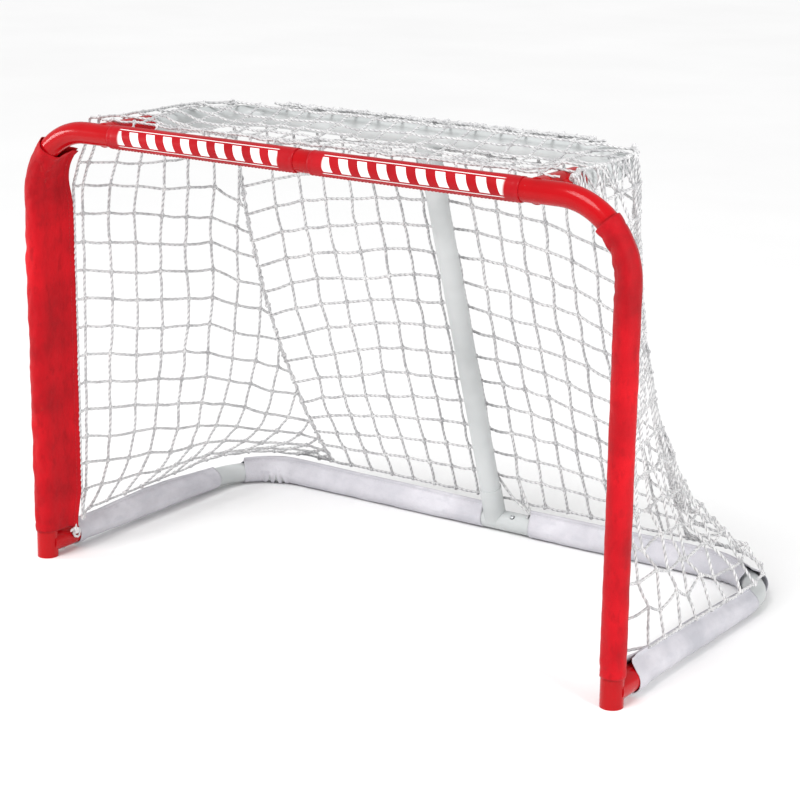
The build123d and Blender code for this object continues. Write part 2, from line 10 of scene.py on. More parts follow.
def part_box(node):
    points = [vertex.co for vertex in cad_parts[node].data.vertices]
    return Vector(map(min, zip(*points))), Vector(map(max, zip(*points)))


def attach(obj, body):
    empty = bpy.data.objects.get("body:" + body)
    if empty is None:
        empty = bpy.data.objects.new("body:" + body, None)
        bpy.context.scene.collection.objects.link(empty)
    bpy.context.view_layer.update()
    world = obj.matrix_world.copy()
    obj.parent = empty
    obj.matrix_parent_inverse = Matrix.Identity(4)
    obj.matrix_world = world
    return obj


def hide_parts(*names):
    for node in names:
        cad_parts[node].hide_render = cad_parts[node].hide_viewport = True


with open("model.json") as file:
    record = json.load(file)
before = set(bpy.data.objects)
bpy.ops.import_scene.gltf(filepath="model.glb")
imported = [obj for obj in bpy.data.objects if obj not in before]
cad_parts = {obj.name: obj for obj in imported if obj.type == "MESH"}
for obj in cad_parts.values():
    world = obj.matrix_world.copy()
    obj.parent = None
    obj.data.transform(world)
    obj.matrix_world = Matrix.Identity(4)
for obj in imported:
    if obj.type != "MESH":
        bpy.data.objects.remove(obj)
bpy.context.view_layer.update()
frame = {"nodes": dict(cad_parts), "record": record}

# ---- sizes read from the frame
post_low, post_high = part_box("left_front_tube")
shelf_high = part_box("shelf_tube")[1]
base_low, base_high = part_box("left_base_tube")
socket_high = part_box("left_foot_socket")[1]
left_skirt_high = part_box("rear_left_skirt")[1]
right_skirt_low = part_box("rear_right_skirt")[0]
wrap_low, wrap_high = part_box("right_crossbar_wrap")
sleeve_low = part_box("left_post_sleeve")[0]
top_low, top_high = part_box("top_net_panel")

TUBE_R = (post_high.y - post_low.y) / 2
POST_Y = (post_high.y + post_low.y) / 2
HALF_WIDTH = -(post_low.x + TUBE_R)
CROSSBAR_Z = post_high.z - TUBE_R
SHELF_Y = shelf_high.y - TUBE_R
SHELF_HALF_WIDTH = shelf_high.x - TUBE_R
REAR_Y = base_high.y - TUBE_R
REAR_Z = base_low.z + TUBE_R
NET_TOP_Z = (top_low.z + top_high.z) / 2

# ---- sizes of the design
FRONT_BEND_R = 0.090
BASE_BEND_R = 0.095
SHELF_BEND_R = 0.085
FRONT_AXIS_Z = 0.0205  # base bar's axis at the posts
BASE_TILT = math.atan2(FRONT_AXIS_Z - REAR_Z, REAR_Y - POST_Y)
FLAP_HEIGHT = 0.028  # top of the base flaps above the bar's axis
REAR_FLAP_OUT = 0.009  # the rear flap stands behind the bar's axis
SLEEVE_FLAP_REACH = 0.050
SLEEVE_FLAP_ANGLE = math.radians(60)
SEAM_X = 0.300  # seams at the rear bar
SEAM_TOP_ANGLE = math.radians(45)  # seams on the shelf's corners
NET_RADIUS = SHELF_BEND_R + 0.0186  # middle of the net round the shelf's corners
MESH = 0.039  # net's mesh, knot to knot
CORD_R = 0.0019
TOP_CORD_R = 0.0016  # the top panel's cords are pulled tight
NET_ROWS = 15  # meshes in the height of the side and rear panels
REAR_HALF = 8  # meshes in half the width of the rear panel
REAR_STEP = SEAM_X / REAR_HALF
SAMPLES = 7  # rings of a cord in half a mesh
CORD_SIDES = 6
CORD_TWIST = 0.016  # one full turn of a cord's strands
THREAD_PITCH = 0.0011  # of the cloth's weave
BAR_PITCH = 0.0275  # printed bars of the crossbar wraps
BAR_SHARE = 0.50
BAR_SLANT = -0.40
BAR_HALF_HEIGHT = 0.0092
LINE_LOW = 0.0115  # thin printed lines above and below the bars
LINE_HIGH = 0.0127


# ======== small helpers
def rand(seed):
    return random.Random(seed)


def jiggle(dice, size):
    """Small random shift, up to a size along each axis."""
    return np.array([dice.uniform(-size, size) for _ in range(3)])


def smooth(low, high, value):
    """0 below low, 1 above high, and a smooth step between."""
    t = min(max((value - low) / (high - low), 0.0), 1.0)
    return t * t * (3 - 2 * t)


def ripple(x, y, z, seed=0.0):
    """Smooth noise from -1 to 1."""
    return noise.noise(Vector((x + 31.7 * seed, y - 17.3 * seed, z + 5.1 * seed)))


def distances(line):
    """How far along a line each of its points is."""
    steps = np.linalg.norm(np.diff(line, axis=0), axis=1)
    return np.concatenate([[0], np.cumsum(steps)])


def directions(line):
    """Unit tangent at each point of a line."""
    tangent = np.gradient(line, axis=0)
    return tangent / np.linalg.norm(tangent, axis=1, keepdims=True)


def at_distances(along, line, where):
    """Points of a line at some distances along it."""
    return np.stack([np.interp(where, along, line[:, k]) for k in range(line.shape[1])], axis=1)


def resample(points, count):
    """Points evenly spaced along a polyline."""
    line = np.array(points, float)
    along = distances(line)
    return at_distances(along, line, np.linspace(0, along[-1], count))


def arc(centre, radius, start, end, count):
    """Points of an arc in a plane, with the angles in radians."""
    return [
        (centre[0] + radius * math.cos(a), centre[1] + radius * math.sin(a))
        for a in np.linspace(start, end, count)
    ]


def catmull(points, samples):
    """Smooth line through all the points, with the same number of samples between each two."""
    p = np.array(points, float)
    p = np.concatenate([[2 * p[0] - p[1]], p, [2 * p[-1] - p[-2]]])
    t = np.linspace(0, 1, samples, endpoint=False)[:, None]
    spans = []
    for a, b, c, d in zip(p[:-3], p[1:-2], p[2:-1], p[3:]):
        linear = (c - a) * t
        square = (2 * a - 5 * b + 4 * c - d) * t**2
        cube = (3 * b - a - 3 * c + d) * t**3
        spans.append((2 * b + linear + square + cube) / 2)
    return np.concatenate([*spans, [p[-2]]])


class Shape:
    """Points, faces and the cloth or cord coordinates of one mesh while it is made."""

    def __init__(self):
        self.points = []
        self.faces = []
        self.local = []
        self.count = 0

    def add(self, points, faces, local=None):
        points = np.asarray(points, float)
        self.points.append(points)
        self.faces.append(np.asarray(faces, int) + self.count)
        self.local.append(np.zeros_like(points) if local is None else np.asarray(local, float))
        self.count += len(points)

    def make(self, name, material):
        """The mesh object, in the scene."""
        points = np.concatenate(self.points)
        faces = [tuple(f) for block in self.faces for f in block.tolist()]
        mesh = bpy.data.meshes.new(name)
        mesh.from_pydata(points.tolist(), [], faces)
        mesh.polygons.foreach_set("use_smooth", [True] * len(faces))
        layer = mesh.attributes.new("local", "FLOAT_VECTOR", "POINT")
        layer.data.foreach_set("vector", np.concatenate(self.local).astype(np.float32).ravel())
        mesh.materials.append(material)
        mesh.validate()
        piece = bpy.data.objects.new(name, mesh)
        bpy.context.scene.collection.objects.link(piece)
        return piece


def tube_frames(line):
    """Two normals along a line, with no twist of their own."""
    tangent = np.gradient(line, axis=0)
    tangent /= np.linalg.norm(tangent, axis=1, keepdims=True) + 1e-12
    first = np.cross(tangent[0], (0.31, 0.52, 0.79))
    first /= np.linalg.norm(first)
    normal = [first]
    for t in tangent[1:]:
        n = normal[-1] - t * np.dot(normal[-1], t)
        normal.append(n / (np.linalg.norm(n) + 1e-12))
    normal = np.array(normal)
    return normal, np.cross(tangent, normal)


def winding(line, turns, reach, phase=0.0):
    """Line that winds round another at some reach from it."""
    normal, binormal = tube_frames(line)
    angle = np.linspace(0, 2 * math.pi * turns, len(line)) + phase
    return line + normal * (np.cos(angle) * reach)[:, None] + binormal * (np.sin(angle) * reach)[:, None]


def grid_faces(rows, columns, closed):
    """Faces between the neighbouring points of a grid, which may close on itself across its rows."""
    i, j = np.meshgrid(np.arange(rows - 1), np.arange(columns if closed else columns - 1), indexing="ij")
    a = i * columns + j
    b = i * columns + (j + 1) % columns
    return np.stack([a, b, b + columns, a + columns], axis=-1).reshape(-1, 4)


def add_tube(shape, line, radius, sides=CORD_SIDES, lobe=0.0, pitch=CORD_TWIST, phase=0.0):
    """Tube along a line.  With a lobe it has two strands that twist round each other."""
    line = np.asarray(line, float)
    normal, binormal = tube_frames(line)
    along = distances(line)
    angle = np.linspace(0, 2 * math.pi, sides, endpoint=False)
    twist = 2 * math.pi * along / pitch + phase
    swell = 1 + lobe * np.cos(2 * (angle[None, :] - twist[:, None]))
    size = np.broadcast_to(radius, (len(line),))[:, None] * swell
    ring = (
        line[:, None, :]
        + (size * np.cos(angle))[:, :, None] * normal[:, None, :]
        + (size * np.sin(angle))[:, :, None] * binormal[:, None, :]
    )
    local = np.stack(
        [np.repeat(along, sides), np.tile(angle, len(line)), np.full(len(line) * sides, phase)],
        axis=-1,
    )
    shape.add(ring.reshape(-1, 3), grid_faces(len(line), sides, True), local)
    for end, inner in ((0, 1), (len(line) - 1, len(line) - 2)):
        close_end(shape, ring[end], line[end] + (line[end] - line[inner]) * 0.3, end == 0)


def close_end(shape, ring, tip, first):
    """Blunt end of a cord."""
    sides = len(ring)
    order = np.arange(sides)
    after = (order + 1) % sides
    middle = np.full(sides, sides)
    pair = (after, order) if first else (order, after)
    shape.add(np.concatenate([ring, [tip]]), np.stack([*pair, middle], axis=-1))


def torus_mesh(major, minor, around=10, sides=6):
    """Points and faces of a ring in the XY plane."""
    u, v = np.meshgrid(
        np.linspace(0, 2 * math.pi, around, endpoint=False),
        np.linspace(0, 2 * math.pi, sides, endpoint=False),
        indexing="ij",
    )
    reach = major + minor * np.cos(v)
    points = np.stack([reach * np.cos(u), reach * np.sin(u), minor * np.sin(v)], axis=-1)
    i, j = np.meshgrid(np.arange(around), np.arange(sides), indexing="ij")
    i2, j2 = (i + 1) % around, (j + 1) % sides
    corners = [i * sides + j, i2 * sides + j, i2 * sides + j2, i * sides + j2]
    return points.reshape(-1, 3), np.stack(corners, axis=-1).reshape(-1, 4)


KNOT_RING = 0.0021  # radius of a knot's ring, to the middle of its cord
KNOT_CORD = 0.0016
KNOT_POINTS, KNOT_FACES = torus_mesh(KNOT_RING, KNOT_CORD)


def add_knot(shape, place, normal, dice, size=1.0):
    """Two crossed turns of cord round a crossing."""
    out = Vector(normal).normalized()
    flat = out.orthogonal().normalized()
    turn = dice.uniform(0, math.pi)
    for tilt in (0.9, -0.8):
        spin = turn + tilt + dice.uniform(-0.25, 0.25)
        axis = (Matrix.Rotation(spin, 3, out) @ flat + out * tilt * 0.5).normalized()
        frame3 = np.array(axis.to_track_quat("Z", "Y").to_matrix())
        scale = size * dice.uniform(0.88, 1.12)
        stretch = np.array([1.0, dice.uniform(0.95, 1.2), 1.0])
        points = (KNOT_POINTS * scale * stretch) @ frame3.T
        local = KNOT_POINTS * 3.0 + place[0]
        shape.add(points + np.array(place), KNOT_FACES, local)


# ======== materials
def new_material(name):
    material = bpy.data.materials.new(name)
    material.use_nodes = True
    tree = material.node_tree
    return material, tree, tree.nodes["Principled BSDF"]


def node(tree, kind, **values):
    """A node with its properties and its inputs set by name."""
    made = tree.nodes.new(kind)
    for key, value in values.items():
        if key in made.inputs:
            made.inputs[key].default_value = value
        else:
            setattr(made, key, value)
    return made


def noise_field(tree, source, scale, detail=4.0, rough=0.55, stretch=None):
    """Noise over a set of coordinates, stretched if it has to be."""
    made = node(tree, "ShaderNodeTexNoise", Scale=scale, Detail=detail, Roughness=rough)
    if stretch:
        mapping = node(tree, "ShaderNodeMapping", Scale=stretch)
        tree.links.new(source, mapping.inputs["Vector"])
        source = mapping.outputs["Vector"]
    tree.links.new(source, made.inputs["Vector"])
    return made.outputs["Fac"]


def colour_ramp(tree, field, stops):
    made = node(tree, "ShaderNodeValToRGB")
    ramp = made.color_ramp
    while len(ramp.elements) < len(stops):
        ramp.elements.new(0.5)
    for element, (place, colour) in zip(ramp.elements, stops):
        element.position = place
        element.color = (*colour, 1.0)
    tree.links.new(field, made.inputs["Fac"])
    return made.outputs["Color"]


def spread(tree, field, low, high, start=0.3, end=0.7):
    """A field mapped from one range to another."""
    made = node(tree, "ShaderNodeMapRange")
    made.inputs["From Min"].default_value = start
    made.inputs["From Max"].default_value = end
    made.inputs["To Min"].default_value = low
    made.inputs["To Max"].default_value = high
    tree.links.new(field, made.inputs["Value"])
    return made.outputs["Result"]


def maths(tree, operation, a, b=None, c=None):
    made = node(tree, "ShaderNodeMath", operation=operation)
    for socket, value in zip(made.inputs, (a, b, c)):
        if value is None:
            continue
        if isinstance(value, (int, float)):
            socket.default_value = value
        else:
            tree.links.new(value, socket)
    return made.outputs["Value"]


def mix_colour(tree, share, a, b, blend="MIX"):
    made = node(tree, "ShaderNodeMix", data_type="RGBA", blend_type=blend)
    for socket, value in ((made.inputs[0], share), (made.inputs[6], a), (made.inputs[7], b)):
        if isinstance(value, (int, float)):
            socket.default_value = value
        elif isinstance(value, tuple):
            socket.default_value = (*value, 1.0)
        else:
            tree.links.new(value, socket)
    return made.outputs[2]


def bump(tree, shader, height, strength, distance):
    """Adds one layer of relief on top of what the shader has."""
    made = node(tree, "ShaderNodeBump", Strength=strength, Distance=distance)
    tree.links.new(height, made.inputs["Height"])
    normal = shader.inputs["Normal"]
    if normal.links:
        tree.links.new(normal.links[0].from_socket, made.inputs["Normal"])
    tree.links.new(made.outputs["Normal"], normal)


def fix(shader, values):
    """Constants, each on the shader's own socket."""
    for name, value in values.items():
        shader.inputs[name].default_value = value


def cover(tree, shader, colour, rough):
    """Links the shader's colour and its roughness."""
    tree.links.new(colour, shader.inputs["Base Color"])
    tree.links.new(rough, shader.inputs["Roughness"])


def parts_of(tree, source):
    """The three numbers of a vector."""
    split = node(tree, "ShaderNodeSeparateXYZ")
    tree.links.new(source, split.inputs[0])
    return split.outputs


def object_place(tree):
    return node(tree, "ShaderNodeTexCoord").outputs["Object"]


def local_place(tree):
    """The cloth or cord coordinates that the mesh holds."""
    return node(tree, "ShaderNodeAttribute", attribute_name="local").outputs["Vector"]


def powder_coat(name, deep, plain, light, roughness):
    """Sprayed and baked paint on steel: orange peel, slow colour drift, dust and small scuffs."""
    material, tree, shader = new_material(name)
    place = object_place(tree)
    drift = noise_field(tree, place, 9.0, 3.0)
    base = colour_ramp(tree, drift, [(0.3, deep), (0.5, plain), (0.72, light)])
    scuff = noise_field(tree, place, 55.0, 8.0, 0.7, stretch=(1.0, 1.0, 0.35))
    mask = spread(tree, scuff, 0.0, 1.0, 0.66, 0.74)
    dulled = mix_colour(tree, 0.25, base, (0.75, 0.74, 0.72))
    gloss = noise_field(tree, place, 26.0, 5.0)
    rough = spread(tree, gloss, roughness - 0.05, roughness + 0.09)
    cover(tree, shader, mix_colour(tree, mask, base, dulled), rough)
    fix(shader, {"Coat Weight": 0.20, "Coat Roughness": 0.08, "Specular IOR Level": 0.10, "IOR": 1.5})
    bump(tree, shader, noise_field(tree, place, 480.0, 2.0), 0.10, 0.0006)
    bump(tree, shader, mask, 0.08, 0.0002)
    return material


def woven_cloth(name, deep, plain, light, roughness):
    """Plain weave from the cloth's own coordinates, with dye drift and painted shade in the folds."""
    material, tree, shader = new_material(name)
    cloth = local_place(tree)
    split = parts_of(tree, cloth)
    turns = 2 * math.pi / THREAD_PITCH
    warp = maths(tree, "SINE", maths(tree, "MULTIPLY", split["X"], turns))
    weft = maths(tree, "SINE", maths(tree, "MULTIPLY", split["Y"], turns))
    weave = maths(tree, "MULTIPLY_ADD", maths(tree, "MULTIPLY", warp, weft), 0.5, 0.5)
    place = object_place(tree)
    drift = noise_field(tree, place, 11.0, 5.0, 0.6)
    base = colour_ramp(tree, drift, [(0.3, deep), (0.5, plain), (0.7, light)])
    shade = spread(tree, weave, 0.86, 1.0, 0.0, 1.0)
    fuzz = noise_field(tree, cloth, 900.0, 3.0)
    tone = maths(tree, "MULTIPLY", shade, spread(tree, fuzz, 0.93, 1.05))
    grey = node(tree, "ShaderNodeCombineColor")
    for socket in grey.inputs:
        tree.links.new(tone, socket)
    threads = mix_colour(tree, 1.0, base, grey.outputs["Color"], "MULTIPLY")
    crease = noise_field(tree, cloth, 95.0, 6.0, 0.62, stretch=(1.0, 0.45, 1.0))
    # painted shade: the colour darkens towards the deep tone in the low places of the crease noise
    fibre_wear_and_crease_shade = mix_colour(tree, spread(tree, crease, 0.55, 0.0, 0.34, 0.48), threads, deep)
    cover(tree, shader, fibre_wear_and_crease_shade, spread(tree, drift, roughness - 0.06, roughness + 0.08))
    fix(shader, {"Sheen Weight": 0.06, "Sheen Roughness": 0.45, "Specular IOR Level": 0.12})
    bump(tree, shader, weave, 0.35, 0.00025)
    bump(tree, shader, crease, 0.45, 0.0014)
    wrinkle = noise_field(tree, cloth, 34.0, 4.0, 0.55, stretch=(0.6, 1.0, 1.0))
    bump(tree, shader, wrinkle, 0.35, 0.0030)
    return material


def twisted_cord(name, deep, plain, light):
    """Two-ply polyester cord: painted shade in the grooves between the strands, fine fibres and soft fuzz.
    """
    material, tree, shader = new_material(name)
    cord = local_place(tree)
    split = parts_of(tree, cord)
    along = maths(tree, "MULTIPLY", split["X"], 2 * math.pi / CORD_TWIST)
    turned = maths(tree, "SUBTRACT", split["Y"], maths(tree, "ADD", along, split["Z"]))
    strand = maths(tree, "COSINE", maths(tree, "MULTIPLY", turned, 2.0))
    # painted shade: the deep colour fills the grooves between the two strands
    groove_shade = spread(tree, strand, 0.0, 1.0, -1.0, -0.1)
    place = object_place(tree)
    drift = noise_field(tree, place, 60.0, 6.0, 0.7)
    base = colour_ramp(tree, drift, [(0.3, deep), (0.52, plain), (0.75, light)])
    fibre = noise_field(tree, cord, 700.0, 4.0, 0.6, stretch=(1.0, 0.02, 1.0))
    fibre_wear_and_crease_shade = mix_colour(tree, spread(tree, fibre, 0.0, 0.35), base, deep)
    rough = spread(tree, fibre, 0.7, 0.9)
    cover(tree, shader, mix_colour(tree, groove_shade, deep, fibre_wear_and_crease_shade), rough)
    fix(shader, {"Sheen Weight": 0.2})
    bump(tree, shader, fibre, 0.5, 0.0003)
    return material


def smooth_vinyl(name, red_deep, red, red_light, white):
    """Printed vinyl: a row of plain white bars on red, with fine grain and faint wrinkles."""
    material, tree, shader = new_material(name)
    along, around, band = parts_of(tree, local_place(tree))
    place = object_place(tree)
    drift = noise_field(tree, place, 12.0, 4.0)
    base = colour_ramp(tree, drift, [(0.3, red_deep), (0.5, red), (0.72, red_light)])
    mask = printed_bars(tree, along, around, band)
    speckle = noise_field(tree, place, 40.0, 4.0)
    ink = colour_ramp(tree, speckle, [(0.3, white), (0.7, (0.86, 0.86, 0.85))])
    gloss = noise_field(tree, place, 30.0, 5.0)
    cover(tree, shader, mix_colour(tree, mask, base, ink), spread(tree, gloss, 0.3, 0.46))
    fix(shader, {"Specular IOR Level": 0.14, "Coat Weight": 0.10, "Coat Roughness": 0.25})
    bump(tree, shader, noise_field(tree, place, 650.0, 3.0), 0.12, 0.0003)
    bump(tree, shader, noise_field(tree, place, 60.0, 4.0, stretch=(0.4, 1.0, 1.0)), 0.25, 0.0012)
    bump(tree, shader, mask, 0.15, 0.0002)
    return material


def printed_bars(tree, along, around, band):
    """Mask of the printed graphic: slanted bars between two thin lines."""
    slanted = maths(tree, "MULTIPLY_ADD", around, BAR_SLANT, along)
    wave = maths(tree, "PINGPONG", slanted, BAR_PITCH / 2)
    bars = maths(tree, "LESS_THAN", wave, BAR_SHARE * BAR_PITCH / 2)
    half = maths(tree, "ABSOLUTE", around)
    inside = maths(tree, "LESS_THAN", half, BAR_HALF_HEIGHT)
    above = maths(tree, "GREATER_THAN", half, LINE_LOW)
    lines = maths(tree, "MULTIPLY", above, maths(tree, "LESS_THAN", half, LINE_HIGH))
    shown = maths(tree, "MAXIMUM", maths(tree, "MULTIPLY", bars, inside), lines)
    return maths(tree, "MULTIPLY", shown, band)


def moulded_plastic(name, dark, light, roughness):
    """Matt plastic with a fine mould grain."""
    material, tree, shader = new_material(name)
    place = object_place(tree)
    drift = noise_field(tree, place, 120.0, 5.0)
    base = colour_ramp(tree, drift, [(0.35, dark), (0.75, light)])
    cover(tree, shader, base, spread(tree, drift, roughness - 0.08, roughness + 0.1))
    bump(tree, shader, noise_field(tree, place, 1200.0, 3.0), 0.2, 0.0002)
    return material


def bare_steel(name, dark, light, roughness):
    """Zinc or spring steel with drawing marks."""
    material, tree, shader = new_material(name)
    marks = noise_field(tree, object_place(tree), 320.0, 5.0, 0.6, stretch=(0.08, 1.0, 1.0))
    base = colour_ramp(tree, marks, [(0.3, dark), (0.7, light)])
    cover(tree, shader, base, spread(tree, marks, roughness - 0.08, roughness + 0.1))
    fix(shader, {"Metallic": 1.0})
    bump(tree, shader, marks, 0.15, 0.0002)
    return material


def floor_material():
    material, tree, shader = new_material("studio_floor")
    drift = noise_field(tree, object_place(tree), 1.5, 4.0)
    pale = colour_ramp(tree, drift, [(0.3, (0.86, 0.86, 0.86)), (0.7, (0.89, 0.89, 0.89))])
    tree.links.new(pale, shader.inputs["Base Color"])
    fix(shader, {"Roughness": 0.75})
    return material


RED_PAINT = powder_coat(
    "red_powder_coat", (0.31, 0.001, 0.004), (0.41, 0.002, 0.005), (0.48, 0.003, 0.007), 0.20
)
WHITE_PAINT = powder_coat(
    "white_powder_coat", (0.46, 0.48, 0.48), (0.54, 0.56, 0.56), (0.61, 0.63, 0.63), 0.34
)
RED_CLOTH = woven_cloth("red_cloth", (0.30, 0.002, 0.006), (0.47, 0.003, 0.009), (0.60, 0.005, 0.012), 0.58)
WHITE_CLOTH = woven_cloth("white_cloth", (0.48, 0.48, 0.52), (0.60, 0.59, 0.63), (0.70, 0.69, 0.73), 0.72)
NET_CORD = twisted_cord("net_cord", (0.34, 0.34, 0.35), (0.74, 0.74, 0.74), (0.88, 0.88, 0.87))
ROPE_CORD = twisted_cord("rope_cord", (0.50, 0.50, 0.51), (0.74, 0.74, 0.74), (0.86, 0.86, 0.85))
RED_THREAD = twisted_cord("red_thread", (0.40, 0.004, 0.008), (0.55, 0.006, 0.012), (0.66, 0.02, 0.03))
WHITE_THREAD = twisted_cord("white_thread", (0.5, 0.5, 0.53), (0.7, 0.7, 0.74), (0.8, 0.8, 0.84))
VINYL = smooth_vinyl(
    "red_vinyl", (0.31, 0.001, 0.005), (0.39, 0.002, 0.007), (0.46, 0.004, 0.010), (0.80, 0.80, 0.79)
)
BLACK_PLASTIC = moulded_plastic("black_plastic", (0.010, 0.010, 0.011), (0.030, 0.030, 0.032), 0.45)
SPRING_STEEL = bare_steel("spring_steel", (0.30, 0.30, 0.31), (0.48, 0.48, 0.49), 0.35)
ZINC = bare_steel("zinc_plate", (0.52, 0.53, 0.55), (0.72, 0.73, 0.74), 0.28)


# ======== cloth round a bar
def teardrop(radius, tip, gap, count):
    """Section of cloth wrapped round a bar and pinched into a flap along its first axis."""
    pinch = radius + (tip - radius) * 0.55
    turn = math.acos(radius / pinch)
    outline = [(tip, gap), (pinch, gap)]
    outline += arc((0, 0), radius, turn, 2 * math.pi - turn, 28)
    outline += [(pinch, -gap), (tip, -gap)]
    return resample(outline, count)


def cloth_grid(axis, first, second, section, count):
    """Grid of points of a wrapped cloth: one row for each point of the bar's axis."""
    along = distances(axis)
    rows, local = [], []
    for place, a, b, s in zip(axis, first, second, along):
        outline = section(s, along[-1], count)
        rows.append(place + outline[:, :1] * a + outline[:, 1:] * b)
        local.append(np.stack([distances(outline), np.full(count, s), np.zeros(count)], axis=-1))
    return np.array(rows), np.array(local)


def cloth_piece(name, grid, local, material, thickness):
    """Single layer of cloth given its thickness by Solidify."""
    rows, count = grid.shape[:2]
    shape = Shape()
    shape.add(grid.reshape(-1, 3), grid_faces(rows, count, False), local.reshape(-1, 3))
    piece = shape.make(name, material)
    solid = piece.modifiers.new("thickness", "SOLIDIFY")
    solid.thickness = thickness
    solid.offset = 0.0
    solid.use_quality_normals = True
    return piece


def add_stitches(shape, line, normal, length=0.0030, gap=0.0022, radius=0.00035):
    """Row of short stitches along a line on the cloth."""
    along = distances(line)
    start = gap
    while start + length < along[-1]:
        at = np.linspace(start, start + length, 5)
        lift = np.array([0.0, 0.8, 1.0, 0.8, 0.0]) * radius
        run = at_distances(along, line, at) + at_distances(along, normal, at) * lift[:, None]
        add_tube(shape, run, radius, sides=5)
        start += length + gap


def stitched(name, grid, normal, columns, material, lift=0.0005):
    """Stitches along some columns of a cloth grid, on its outside."""
    shape = Shape()
    for column in columns:
        add_stitches(shape, grid[:, column] + normal[:, column] * lift, normal[:, column])
    return shape.make(name, material)


def rest_on(piece, cad=None):
    """The piece stays with the frame, and may replace a CAD node."""
    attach(piece, "root")
    if cad:
        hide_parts(cad)
    return piece


def outward_normals(grid, centre):
    """Normals of a wrapped cloth that point away from its bar."""
    normal = np.cross(np.gradient(grid, axis=1), np.gradient(grid, axis=0))
    normal /= np.linalg.norm(normal, axis=2, keepdims=True) + 1e-12
    return normal * np.sign((normal * (grid - centre)).sum())


# ---- post sleeves
SLEEVE_COLUMNS = 72
SLEEVE_ROWS = 190
SLEEVE_CLOTH_R = 0.0153
SLEEVE_THICKNESS = 0.0008
SLEEVE_BEND = math.radians(46.5)  # how far it goes round the post's bend
SLEEVE_TOP_PULL = 0.010  # the flap's top corner is pulled along the bend


def sleeve_axis(side):
    """The post and half of its bend, from the bottom hem up, with the section's two axes."""
    low = sleeve_low.z
    bend_z = CROSSBAR_Z - FRONT_BEND_R
    straight = [(HALF_WIDTH, low), (HALF_WIDTH, bend_z)]
    bend = arc((HALF_WIDTH - FRONT_BEND_R, bend_z), FRONT_BEND_R, 0, SLEEVE_BEND, 24)
    flat = resample([*straight, *bend[1:]], SLEEVE_ROWS)
    points = np.stack([side * flat[:, 0], np.full(len(flat), POST_Y), flat[:, 1]], axis=1)
    tangent = directions(points)
    rearwards = np.broadcast_to((0.0, 1.0, 0.0), points.shape)
    inwards = np.cross(tangent, rearwards) * side
    first = inwards * math.cos(SLEEVE_FLAP_ANGLE) + rearwards * math.sin(SLEEVE_FLAP_ANGLE)
    second = np.cross(tangent, first)
    return points, first, second


def sleeve_section(s, total, count):
    """The flap is full size up to the bend and shrinks towards the sleeve's top."""
    up = smooth(total - 0.10, total, s)
    down = 1 - smooth(0.0, 0.06, s)
    tip = SLEEVE_FLAP_REACH - 0.014 * up - 0.006 * down
    return teardrop(SLEEVE_CLOTH_R, tip, FLAP_GAP, count)


def sleeve_relief(side, s, share, total, seed):
    """How far the sleeve's cloth stands out of its smooth shape."""
    belly = math.sin(math.pi * share)
    tall = 0.0012 * ripple(share * 7, s * 9, 0.3, seed)
    slanted = 0.0013 * ripple(share * 9 + s * 26, s * 30 - share * 6, 1.7, seed)
    fine = 0.0009 * ripple(share * 24, s * 90, 4.2, seed)
    bend = smooth(total - 0.115, total - 0.06, s) * (1 - smooth(total - 0.03, total, s))
    inner = math.exp(-(((share - 0.5 + 0.19 * side) / 0.13) ** 2))
    wave = math.sin(s * 2 * math.pi / 0.019 + share * 14 + 5.0 * ripple(share * 7, s * 24, 2.0, seed))
    buckle = 0.0015 * bend * inner * wave * (0.5 + 1.3 * ripple(share * 6, s * 34, 8.0, seed))
    drawn = 0.0011 * bend * ripple(share * 22, s * 16, 5.0, seed)
    top = smooth(total - 0.022, total, s) * 0.0016 * (1 + 1.2 * ripple(share * 11, 2.0, s * 20, seed))
    foot = (1 - smooth(0.0, 0.03, s)) * 0.0010 * ripple(share * 9, 7.0, s * 40, seed)
    low_hem = math.exp(-(((s - 0.011) / 0.0022) ** 2))
    high_hem = math.exp(-(((total - 0.011 - s) / 0.0022) ** 2))
    hem = 0.0006 * (low_hem + high_hem)
    tight = 0.45 if side > 0 else 1.0
    return belly * (tall + slanted + fine) * tight + buckle + drawn + top + foot - hem


def post_sleeve(name, side):
    points, first, second = sleeve_axis(side)
    tangent = directions(points)
    grid, local = cloth_grid(points, first, second, sleeve_section, SLEEVE_COLUMNS)
    normal = outward_normals(grid, points[:, None, :])
    total = local[-1, 0, 1]
    for row in range(SLEEVE_ROWS):
        s = local[row, 0, 1]
        for column in range(SLEEVE_COLUMNS):
            share = column / (SLEEVE_COLUMNS - 1)
            out = sleeve_relief(side, s, share, total, side + 3)
            flap = smooth(0.30, 0.0, share) + smooth(0.70, 1.0, share)
            pull = SLEEVE_TOP_PULL * flap * smooth(total - 0.06, total, s)
            grid[row, column] += normal[row, column] * out + tangent[row] * pull
    piece = cloth_piece(f"{name}_post_sleeve_cloth", grid, local, RED_CLOTH, SLEEVE_THICKNESS)
    rest_on(piece, f"{name}_post_sleeve")
    columns = (3, SLEEVE_COLUMNS - 4)
    thread = stitched(f"{name}_sleeve_stitches", grid, normal, columns, RED_THREAD)
    rest_on(thread)


# ---- base skirts
SKIRT_COLUMNS = 60
SKIRT_CLOTH_R = 0.0152
LAP_CLOTH_R = 0.0168  # over the sockets
LAP_MOUTH = 0.0034  # how far a lap's flap stands open at its front
FLAP_GAP = 0.0009  # half the gap between the two layers of a flap
SKIRT_THICKNESS = 0.0008
FLOOR_GAP = 0.0005  # the cloth's middle stays this far above the floor


def base_point(x, y):
    """A point of the base's plane, with y counted from the rear bar's axis."""
    return (x, REAR_Y + y * math.cos(BASE_TILT), REAR_Z - y * math.sin(BASE_TILT))


BASE_UP = np.array((0.0, math.sin(BASE_TILT), math.cos(BASE_TILT)))


